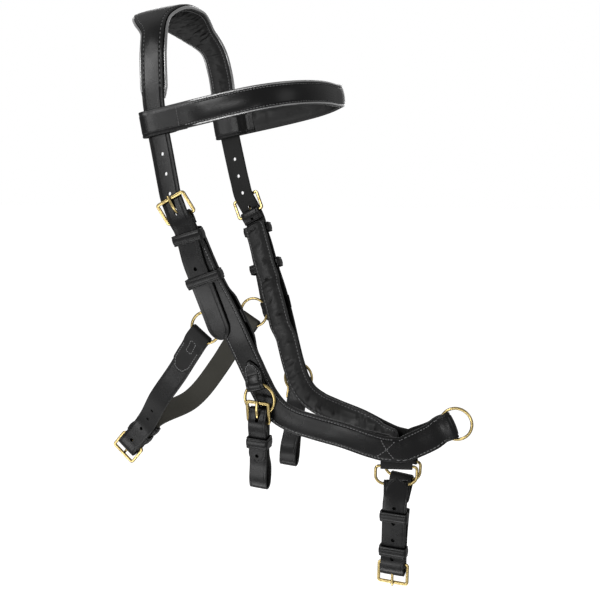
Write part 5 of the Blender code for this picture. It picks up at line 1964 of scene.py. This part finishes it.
@dataclass
class ChinStrap(FoldedBillet):
    """Chin rings in their tabs, and the strap that joins them under the chin.

    Attributes:
        width: Width of the strap.
        tab_width: Width of the tabs.
        buckle: Place of the buckle's pivot bar.
        wire_height: Height of the rings' upper wires.
        ring_length: Outer length of a ring.
        ring_height: Height of a ring between its wires.
        ring_corner: Radius of a ring's upper corners.
    """

    width: float = 23.5 * MM
    tab_width: float = 31 * MM
    buckle: Triple = (234 * MM, 8 * MM, -539 * MM)
    wire_height: float = -438.5 * MM
    ring_length: float = 40 * MM
    ring_height: float = 18 * MM
    ring_corner: float = 3.5 * MM

    def __post_init__(self) -> None:
        """Work out the rings' and the buckle's axes and the levels of the folds."""
        place, along, _, _ = self.cheek.route.frame(self.cheek.route.length)
        self.way = Vector((along.x, along.y, 0)).normalized()
        top_wire = place + self.way * 0.5 * MM
        top_wire -= Vector((self.way.y, -self.way.x, 0)) * 4.5 * MM
        top_wire.z = self.wire_height
        self.pivot = right(self.buckle)
        hang = (self.pivot - top_wire).normalized()
        self.seat = Seat(top_wire, hang, hang.cross(self.way))
        self.low_wire = self.seat.point(self.ring_height, 0, 0)
        self.bar = Seat(self.pivot, self.pivot - self.low_wire, (0, -1, 0))
        self.reach = (self.pivot - self.low_wire).length
        self.step = STOCK.light + STOCK.gap
        self.level = self.step / 2
        self.tail = self.level + self.step + 0.25 * MM
        self.bend = STOCK.ring_wire + STOCK.gap + STOCK.light / 2
        self.low = -(self.level + STOCK.light + STOCK.keeper + 4 * STOCK.gap)

    def turned(self, path: Path, sign: int) -> list[Station]:
        """Stations of a strap that turns to lie along the ring's wire.

        Args:
            path: Points in the s and n plane of the buckle.
            sign: 1 or -1, the sense of the across direction.

        Returns:
            The stations.
        """
        stations = []
        for s, n in path:
            share = blend(-s, 0, 1, 54 * MM, self.reach - 7 * MM)
            outward = self.bar.outward.lerp(self.seat.outward, share)
            hold = Seat(self.bar.point(s, 0, 0), self.bar.along, outward)
            stations.append((hold.point(0, 0, n), hold.across * sign))
        return stations

    def build(self) -> None:
        """Place rings, tabs, both halves, hardware, keepers and stitches."""
        seat, half = self.seat, self.ring_height / 2
        points = []
        for low, high in zip(round_rectangle(half, self.ring_length / 2, half - 0.4 * MM, 12),
                             round_rectangle(half, self.ring_length / 2, self.ring_corner, 12)):
            s, w = low if low[0] > 0 else high
            points.append(seat.point(s + half, w, 0))
        shell = wire(points, seat.outward, STOCK.ring_wire, STOCK.ring_wire, True, sides=18)
        self.bench.pair("chin_ring", Kind.WIRE, shell)
        self.build_tab()
        self.build_buckle_end()
        self.build_billet()
        self.build_buckle("chin", self.bar, self.width)
        for name, s, deep, room in (("chin_fixed_keeper", -14 * MM, self.step, 0.7 * MM),
                                    ("chin_running_keeper", -50 * MM, 0.0, 1.1 * MM)):
            hold = Seat(self.bar.point(s, 0, 0), self.bar.along, self.bar.outward)
            floor = self.level - STOCK.light / 2 - deep - 0.1 * MM
            shell = keeper_loop(hold, self.width + 0.6 * MM, floor,
                                self.tail + STOCK.light / 2 + room)
            self.bench.place(name, Kind.LEATHER, shell)

    def build_tab(self) -> None:
        """Place the tabs that hold the rings to the noseband."""
        bend = STOCK.ring_wire + STOCK.gap + STOCK.tab / 2
        side = Vector((self.way.y, -self.way.x, 0))
        upper = Seat(self.seat.origin, Vector((0, 0, 1)), side)
        gap = (STOCK.tab + STOCK.gap) / 2 + 0.05 * MM
        middle = 0.55 * MM
        path = [(19 * MM, middle + gap), (11 * MM, middle + gap),
                (7 * MM, middle + gap + 0.05 * MM)]
        path += arc(0, 0, bend, 70, 290, 7)
        path += [(7 * MM, middle - gap - 0.05 * MM), (11 * MM, middle - gap),
                 (17 * MM, middle - gap)]
        route = Route(flat_stations(upper, path, -self.seat.across))
        cut = Cut(self.tab_width, STOCK.tab, rounding=0.5 * MM)
        self.bench.pair("chin_tab", Kind.LEATHER, cut.along(route))

    def build_buckle_end(self) -> None:
        """Place the half that hangs from the right ring and carries the buckle."""
        reach, level, bend = self.reach, self.level, self.bend
        path = chape_points(0.0, STOCK.light, 15 * MM, level)
        path += [(-24 * MM, level), (-44 * MM, level), (-56 * MM, level),
                 (-65 * MM, level + 0.3 * MM), (6 * MM - reach, bend * 0.9)]
        path += arc(-reach, 0, bend, 90, 270, 6)
        path += [(5 * MM - reach, -bend * 0.95), (10 * MM - reach, level - self.step),
                 (15 * MM - reach, level - self.step)]
        cut = Cut(self.width, STOCK.light, crease=2.0 * MM, rounding=0.7 * MM)
        self.bench.place("chin_buckle_strap", Kind.LEATHER,
                         cut.along(Route(self.turned(path, -1))),
                         [slot_cutter(self.bar, 0.0, STOCK.light)])

    def lay_billet(self) -> Route:
        """Centre line of the half that hangs from the left ring."""
        bar, reach, low, tail = self.bar, self.reach, self.low, self.tail
        above = self.bend + self.step + 0.3 * MM
        path = [(-8 * MM - reach, above + 0.3 * MM), (-reach, above),
                (8 * MM - reach, above - 0.1 * MM), (19 * MM - reach, tail + 1.2 * MM),
                (-50 * MM, tail + 0.1 * MM), (-24 * MM, tail), (-9 * MM, tail + 0.3 * MM)]
        stations = self.turned(path + self.fold(low), 1)
        left_wire = mirror_point(self.low_wire)
        across = self.seat.across
        left_across = Vector((-across.x, across.y, -across.z))
        waist = bar.point(-48 * MM, 0, low) + Vector((0, 5.5 * MM, 0))
        stations.append((waist, bar.across))
        rise = left_wire - waist
        top = Seat(left_wire, rise - left_across * rise.dot(left_across),
                   mirror_point(self.seat.outward))
        path = [(-20 * MM, self.level), (-7 * MM, self.bend * 0.95)]
        path += arc(0, 0, self.bend, 90, -90, 6)
        path += [(-7 * MM, -self.bend * 0.95), (-12 * MM, self.level - self.step - 0.1 * MM),
                 (-19 * MM, self.level - self.step - 0.1 * MM)]
        return Route(stations + flat_stations(top, path, left_across))

    def build_billet(self) -> None:
        """Place the half with the holes."""
        route, bar = self.lay_billet(), self.bar
        cutters = [self.fold_hole(route, bar, self.low)]
        for s in (-6, -26, -43, -60):
            spot = route.nearest(bar.point(s * MM, 0, self.tail))
            cutters.append(punch(seat_on(route, spot), depth=2 * MM))
        cut = Cut(self.width, STOCK.light, crease=2.0 * MM, rounding=0.7 * MM, heel=12 * MM,
                  end=End.POINTED)
        self.bench.place("chin_billet", Kind.LEATHER, cut.along(route), cutters)


class Graph:
    """Short way to add nodes to a shader tree."""

    def __init__(self, tree: bpy.types.NodeTree) -> None:
        """Keep the tree."""
        self.tree = tree

    def add(self, kind: str, settings: dict | None = None, **sockets) -> bpy.types.Node:
        """Add a node.

        Args:
            kind: Type of the node without its ShaderNode prefix.
            settings: Properties of the node.
            sockets: Inputs by name with underscores for spaces, values or sockets.

        Returns:
            The node.
        """
        node = self.tree.nodes.new(f"ShaderNode{kind}")
        for name, value in (settings or {}).items():
            setattr(node, name, value)
        for name, value in sockets.items():
            self.feed(node.inputs[name.replace("_", " ")], value)
        return node

    def feed(self, socket: bpy.types.NodeSocket, value: object) -> None:
        """Link a socket to an input, or set its value.

        Args:
            socket: The input.
            value: A socket or a plain value.
        """
        if isinstance(value, bpy.types.NodeSocket):
            self.tree.links.new(value, socket)
        else:
            socket.default_value = value

    def math(self, operation: str, a: object, b: object = 0.5, c: object = 0.5,
             clamp: bool = False) -> bpy.types.NodeSocket:
        """Result of a math node.

        Args:
            operation: Its operation.
            a: First value.
            b: Second value.
            c: Third value, where the operation has one.
            clamp: Whether the result is held from 0 to 1.

        Returns:
            The result's socket.
        """
        node = self.add("Math", {"operation": operation, "use_clamp": clamp})
        for socket, value in zip(node.inputs, (a, b, c)):
            self.feed(socket, value)
        return node.outputs[0]

    def mix(self, share: object, a: object, b: object) -> bpy.types.NodeSocket:
        """Blend of two colours.

        Args:
            share: Share of the second colour.
            a: First colour.
            b: Second colour.

        Returns:
            The colour's socket.
        """
        node = self.add("Mix", {"data_type": "RGBA", "clamp_factor": True})
        self.feed(node.inputs[0], share)
        self.feed(node.inputs[6], a)
        self.feed(node.inputs[7], b)
        return node.outputs[2]

    def noise(self, scale: float, detail: float, rough: float) -> bpy.types.NodeSocket:
        """Value of a noise texture in the object's own space."""
        place = self.add("TexCoord").outputs["Object"]
        return self.add("TexNoise", Vector=place, Scale=scale, Detail=detail,
                        Roughness=rough).outputs[0]

    def ramp(self, value: object, low: float, high: float) -> bpy.types.NodeSocket:
        """Value spread from 0 at low to 1 at high."""
        node = self.add("MapRange", {"clamp": True, "interpolation_type": "SMOOTHSTEP"},
                        Value=value, From_Min=low, From_Max=high)
        return node.outputs[0]

    def facing(self) -> bpy.types.NodeSocket:
        """How much a surface turns away from the eye, from 0 to 1."""
        return self.add("LayerWeight", Blend=0.5).outputs["Facing"]

    def bump(self, shader: bpy.types.Node, height: object, depth: float, share: float) -> None:
        """Give a shader relief of a depth in metres."""
        node = self.add("Bump", Height=height, Distance=depth, Strength=share)
        self.feed(shader.inputs["Normal"], node.outputs[0])


def new_group(name: str, inputs: dict[str, float], outputs: dict[str, str]) -> tuple[
        bpy.types.NodeTree, Graph, bpy.types.Node, bpy.types.Node]:
    """Start a shader node group.

    Args:
        name: Name of the group.
        inputs: Number inputs and their defaults.
        outputs: Outputs and their socket types.

    Returns:
        The group, its graph, its input node and its output node.
    """
    tree = bpy.data.node_groups.new(name, "ShaderNodeTree")
    for label, value in inputs.items():
        socket = tree.interface.new_socket(label, in_out="INPUT", socket_type="NodeSocketFloat")
        socket.default_value = value
    for label, kind in outputs.items():
        tree.interface.new_socket(label, in_out="OUTPUT", socket_type=kind)
    graph = Graph(tree)
    return tree, graph, tree.nodes.new("NodeGroupInput"), tree.nodes.new("NodeGroupOutput")


def leather_grain_group() -> bpy.types.NodeTree:
    """Height and mask of fine leather grain with softer creases and broad unevenness."""
    tree, graph, given, out = new_group(
        "leather_grain", {"Pebble": 1.0, "Crease": 0.4},
        {"Height": "NodeSocketFloat", "Patch": "NodeSocketFloat"})
    place = graph.add("TexCoord").outputs["Object"]
    pebble = graph.add("TexVoronoi", {"feature": "SMOOTH_F1"}, Vector=place, Scale=1500.0,
                       Smoothness=0.6)
    crease = graph.noise(420.0, 4.0, 0.65)
    patch = graph.noise(38.0, 3.0, 0.5)
    low = graph.math("MULTIPLY", pebble.outputs["Distance"], given.outputs["Pebble"])
    high = graph.math("MULTIPLY", crease, given.outputs["Crease"])
    total = graph.math("ADD", low, high)
    total = graph.math("MULTIPLY_ADD", patch, 0.8, total)
    graph.feed(out.inputs["Height"], total)
    graph.feed(out.inputs["Patch"], graph.ramp(patch, 0.35, 0.7))
    return tree


def edge_wear_group() -> bpy.types.NodeTree:
    """Mask of rubbed edges, and share of the flesh side."""
    tree, graph, given, out = new_group(
        "edge_wear", {"Amount": 0.5}, {"Wear": "NodeSocketFloat", "Flesh": "NodeSocketFloat"})
    edge = graph.add("Attribute", {"attribute_name": "edge_share"}).outputs["Fac"]
    flesh = graph.add("Attribute", {"attribute_name": "flesh_share"}).outputs["Fac"]
    rub = graph.noise(160.0, 3.0, 0.6)
    broken = graph.math("MULTIPLY", graph.ramp(edge, 0.45, 1.0), graph.ramp(rub, 0.3, 0.7))
    graph.feed(out.inputs["Wear"], graph.math("MULTIPLY", broken, given.outputs["Amount"]))
    graph.feed(out.inputs["Flesh"], flesh)
    return tree


def tarnish_group() -> bpy.types.NodeTree:
    """Mask of dull patches on metal and height of its fine scratches."""
    tree, graph, given, out = new_group(
        "tarnish", {"Amount": 0.5}, {"Dull": "NodeSocketFloat", "Height": "NodeSocketFloat"})
    cloud, fine = graph.noise(120.0, 4.0, 0.6), graph.noise(1400.0, 2.0, 0.5)
    dull = graph.math("MULTIPLY", graph.ramp(cloud, 0.45, 0.75), given.outputs["Amount"])
    graph.feed(out.inputs["Dull"], dull)
    graph.feed(out.inputs["Height"], fine)
    return tree


def place_group(graph: Graph, tree: bpy.types.NodeTree, **values: float) -> bpy.types.Node:
    """Add a group node with its input values.

    Args:
        graph: Where it goes.
        tree: The group.
        values: Inputs by name.

    Returns:
        The node.
    """
    node = graph.add("Group", {"node_tree": tree})
    for name, value in values.items():
        node.inputs[name].default_value = value
    return node


def new_material(name: str) -> tuple[bpy.types.Material, Graph, bpy.types.Node]:
    """Start a material.

    Args:
        name: Name of the material.

    Returns:
        The material, its graph and its shader.
    """
    material = bpy.data.materials.new(name)
    material.use_nodes = True
    tree = material.node_tree
    return material, Graph(tree), tree.nodes["Principled BSDF"]


@dataclass(frozen=True)
class LeatherFinish:
    """Dyed leather.

    Attributes:
        name: Name of the material.
        colour: Colour of the grain side.
        flesh: Colour of the flesh side.
        worn: Colour of rubbed edges.
        roughness: Roughness of the grain side.
        specular: Strength of its highlights.
        pebble: Depth of the grain.
        crease: Depth of fine creases.
        wear: Share of rubbed edges.
        bump: Depth of all relief.
        density: Refractive index, high for patent leather.
        glance: Share of the highlights left at a glancing angle.
    """

    name: str
    colour: Triple
    flesh: Triple
    worn: Triple
    roughness: float
    specular: float = 0.35
    pebble: float = 0.7
    crease: float = 0.5
    wear: float = 0.5
    bump: float = 0.06 * MM
    density: float = 1.5
    glance: float = 0.06

    def material(self, groups: dict[str, bpy.types.NodeTree]) -> bpy.types.Material:
        """Make the material.

        Args:
            groups: Node groups by name.

        Returns:
            The material.
        """
        material, graph, shader = new_material(self.name)
        grain = place_group(graph, groups["grain"], Pebble=self.pebble, Crease=self.crease)
        wear = place_group(graph, groups["wear"], Amount=self.wear)
        patch = tuple(c * 1.35 for c in self.colour)
        colour = graph.mix(grain.outputs["Patch"], (*self.colour, 1), (*patch, 1))
        colour = graph.mix(wear.outputs["Wear"], colour, (*self.worn, 1))
        colour = graph.mix(wear.outputs["Flesh"], colour, (*self.flesh, 1))
        graph.feed(shader.inputs["Base Color"], colour)
        rough = graph.math("MULTIPLY_ADD", grain.outputs["Patch"], 0.08, self.roughness)
        rough = graph.math("MULTIPLY_ADD", wear.outputs["Flesh"], 0.3, rough, clamp=True)
        graph.feed(shader.inputs["Roughness"], rough)
        rim = graph.ramp(graph.facing(), 0.3, 0.8)
        gloss = graph.math("MULTIPLY_ADD", rim, self.specular * (self.glance - 1), self.specular)
        graph.feed(shader.inputs["Specular IOR Level"], gloss)
        shader.inputs["IOR"].default_value = self.density
        graph.bump(shader, grain.outputs["Height"], self.bump, 0.9)
        return material


@dataclass(frozen=True)
class BrassFinish:
    """Polished pale brass with a little tarnish, and painted dark reflections towards its glancing
    edges.

    Attributes:
        name: Name of the material.
        colour: Colour of the polished metal.
        dull: Colour of the tarnish, also the specular tint that paints glancing reflections dark.
        edge: Painted dark reflection, the colour the metal turns to at a glancing angle.
        roughness: Roughness of the polished metal.
        tarnish: Share of tarnish.
    """

    name: str
    colour: Triple
    dull: Triple
    edge: Triple
    roughness: float
    tarnish: float

    def material(self, groups: dict[str, bpy.types.NodeTree]) -> bpy.types.Material:
        """Make the material.

        Args:
            groups: Node groups by name.

        Returns:
            The material.
        """
        material, graph, shader = new_material(self.name)
        shader.inputs["Metallic"].default_value = 1.0
        cover = place_group(graph, groups["tarnish"], Amount=self.tarnish)
        colour = graph.mix(cover.outputs["Dull"], (*self.colour, 1), (*self.dull, 1))
        # Painted dark reflection: the colour turns to the edge colour where the surface faces away
        # from the eye, and the dark specular tint below dims glancing reflections too.
        colour = graph.mix(graph.ramp(graph.facing(), 0.3, 0.85), colour, (*self.edge, 1))
        shader.inputs["Specular Tint"].default_value = (*self.dull, 1)
        graph.feed(shader.inputs["Base Color"], colour)
        rough = graph.math("MULTIPLY_ADD", cover.outputs["Dull"], 0.25, self.roughness)
        graph.feed(shader.inputs["Roughness"], rough)
        graph.bump(shader, cover.outputs["Height"], 0.002 * MM, 0.3)
        return material


FINISHES = {
    "leather": LeatherFinish("finished_leather", (0.0016, 0.0016, 0.0017),
                             (0.003, 0.003, 0.0029), (0.008, 0.008, 0.008), 0.24,
                             specular=0.12, bump=0.035 * MM),
    "bare": LeatherFinish("flesh_side_leather", (0.0035, 0.0035, 0.0036),
                          (0.022, 0.021, 0.017), (0.012, 0.012, 0.011), 0.38, specular=0.16),
    "lining": LeatherFinish("lining_leather", (0.0026, 0.0026, 0.0027),
                            (0.0028, 0.0028, 0.0028), (0.006, 0.006, 0.006), 0.18,
                            specular=0.2, crease=0.9, bump=0.04 * MM),
    "rolled": LeatherFinish("rolled_leather", (0.004, 0.004, 0.0042), (0.004, 0.004, 0.0042),
                            (0.015, 0.015, 0.015), 0.24, specular=0.5, pebble=0.2,
                            crease=0.1, density=2.2, glance=1.0),
    "thread": LeatherFinish("waxed_thread", (0.06, 0.06, 0.061), (0.06, 0.06, 0.061),
                            (0.07, 0.07, 0.07), 0.5, specular=0.3, pebble=1.0, glance=1.0),
    "brass": BrassFinish("polished_brass", (0.23, 0.178, 0.075), (0.10, 0.07, 0.03),
                         (0.05, 0.035, 0.015), 0.22, 0.6),
}


def make_finishes() -> dict[str, bpy.types.Material]:
    """Materials by name, on shared node groups."""
    groups = {"grain": leather_grain_group(), "wear": edge_wear_group(),
              "tarnish": tarnish_group()}
    return {name: finish.material(groups) for name, finish in FINISHES.items()}


@dataclass(frozen=True)
class Lamp:
    """An area lamp that points at the object's middle.

    Attributes:
        name: Name of the lamp.
        place: Where it stands.
        size: Width.
        height: Height.
        power: Power in watts.
    """

    name: str
    place: Triple
    size: float
    height: float
    power: float


@dataclass
class Studio:
    """White studio: camera, lamps, backdrop and floor.

    Attributes:
        eye: Place of the camera.
        gaze: Direction of view.
        lens: Focal length on a 36 mm sensor.
        floor: Height of the floor.
        lamps: The lamps.
        fill: Strength of the white surroundings on the object.
        aim: Middle of the object, where the lamps point.
        paper: Grey of the floor, and how brightly it's seen.
        reach: Half size of the floor.
    """

    eye: Triple = (0.44937, -0.870, -0.17064)
    gaze: Triple = (-0.3396, 0.933, -0.1191)
    lens: float = 55.8
    floor: float = -0.85
    fill: float = 0.25
    aim: Triple = (0.11, 0.0, -0.28)
    paper: Pair = (0.35, 0.96)
    reach: float = 30.0
    lamps: tuple[Lamp, ...] = (
        Lamp("key_lamp", (-0.72, -1.12, 0.50), 0.36, 0.60, 13.5),
        Lamp("low_lamp", (-0.28, -0.92, -0.78), 1.15, 0.16, 6.4),
        Lamp("nose_lamp", (0.38, -1.40, -0.54), 0.20, 0.28, 3.2),
        Lamp("front_lamp", (-0.42, -1.34, 0.02), 0.46, 0.22, 4.4),
        Lamp("pad_lamp", (0.12, -0.24, -0.80), 0.50, 0.07, 1.9),
        Lamp("side_lamp", (1.15, -0.60, 0.15), 0.5, 0.6, 3.0),
        Lamp("back_lamp", (-0.35, 1.35, 0.25), 0.9, 0.9, 9.0),
    )

    def build(self) -> None:
        """Set up the camera, lamps, world and floor."""
        self.set_camera()
        for lamp in self.lamps:
            self.set_lamp(lamp)
        self.set_world()
        self.set_floor()
        bpy.context.scene.view_settings.view_transform = "Standard"

    def set_camera(self) -> None:
        """Make the camera that took the picture."""
        data = bpy.data.cameras.new("camera")
        data.lens = self.lens
        data.sensor_width = 36.0
        data.clip_start = 0.02
        camera = bpy.data.objects.new("camera", data)
        camera.location = self.eye
        camera.rotation_mode = "QUATERNION"
        camera.rotation_quaternion = Vector(self.gaze).to_track_quat("-Z", "Y")
        bpy.context.scene.collection.objects.link(camera)
        bpy.context.scene.camera = camera

    def set_lamp(self, lamp: Lamp) -> None:
        """Make one lamp.

        Args:
            lamp: What it's like.
        """
        data = bpy.data.lights.new(lamp.name, "AREA")
        data.shape = "RECTANGLE"
        data.size = lamp.size
        data.size_y = lamp.height
        data.energy = lamp.power
        thing = bpy.data.objects.new(lamp.name, data)
        thing.location = lamp.place
        aim = Vector(self.aim) - Vector(lamp.place)
        thing.rotation_mode = "QUATERNION"
        thing.rotation_quaternion = aim.to_track_quat("-Z", "Y")
        bpy.context.scene.collection.objects.link(thing)

    def set_world(self) -> None:
        """White surroundings, gentler where they only light the object."""
        world = bpy.data.worlds.new("white_surroundings")
        world.use_nodes = True
        bpy.context.scene.world = world
        graph = Graph(world.node_tree)
        ground = world.node_tree.nodes["Background"]
        ground.inputs["Color"].default_value = (1, 1, 1, 1)
        seen = self.seen_rays(graph)
        graph.feed(ground.inputs["Strength"],
                   graph.math("MULTIPLY_ADD", seen, 1.0 - self.fill, self.fill))

    @staticmethod
    def seen_rays(graph: Graph) -> bpy.types.NodeSocket:
        """Mask of rays that show the background itself, in metal and glass too.

        Args:
            graph: Where its nodes go.

        Returns:
            The mask's socket.
        """
        path = graph.add("LightPath")
        seen = graph.math("MAXIMUM", path.outputs["Is Camera Ray"],
                          path.outputs["Is Glossy Ray"])
        return graph.math("MAXIMUM", seen, path.outputs["Is Transmission Ray"])

    def set_floor(self) -> None:
        """White floor below the object that still takes its shadow."""
        mesh = bpy.data.meshes.new("floor")
        corners = [(x * self.reach, y * self.reach, self.floor)
                   for x, y in ((-1, -1), (1, -1), (1, 1), (-1, 1))]
        mesh.from_pydata(corners, [], [(0, 1, 2, 3)])
        floor = bpy.data.objects.new("floor", mesh)
        bpy.context.scene.collection.objects.link(floor)
        material = bpy.data.materials.new("white_floor")
        material.use_nodes = True
        tree = material.node_tree
        tree.nodes.remove(tree.nodes["Principled BSDF"])
        graph = Graph(tree)
        grey, glare = self.paper
        matt = graph.add("BsdfDiffuse", Color=(grey, grey, grey, 1))
        seen = self.seen_rays(graph)
        glow = graph.add("Emission", Strength=graph.math("MULTIPLY", seen, glare))
        both = graph.add("AddShader")
        graph.feed(both.inputs[0], matt.outputs[0])
        graph.feed(both.inputs[1], glow.outputs[0])
        graph.feed(tree.nodes["Material Output"].inputs["Surface"], both.outputs[0])
        mesh.materials.append(material)


def main() -> None:
    """Build the bridle round its frame."""
    logging.basicConfig(level=logging.INFO, format="%(message)s")
    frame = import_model()
    bench = Bench(frame, make_finishes())
    cheek = Cheek(bench)
    crown = Crown(bench, cheek)
    cheek.build(crown.route)
    LOG.info("cheekpieces: %d pieces so far", bench.count)
    for name, part in (("crown", crown), ("browband", Browband(bench)),
                       ("jowl strap", JowlStrap(bench, cheek)),
                       ("bit straps", BitStraps(bench, cheek)),
                       ("noseband", Noseband(bench, cheek)),
                       ("chin strap", ChinStrap(bench, cheek))):
        part.build()
        LOG.info("%s: %d pieces so far", name, bench.count)
    Studio().build()
    LOG.info("sizes written")


if __name__ == "__main__":
    main()
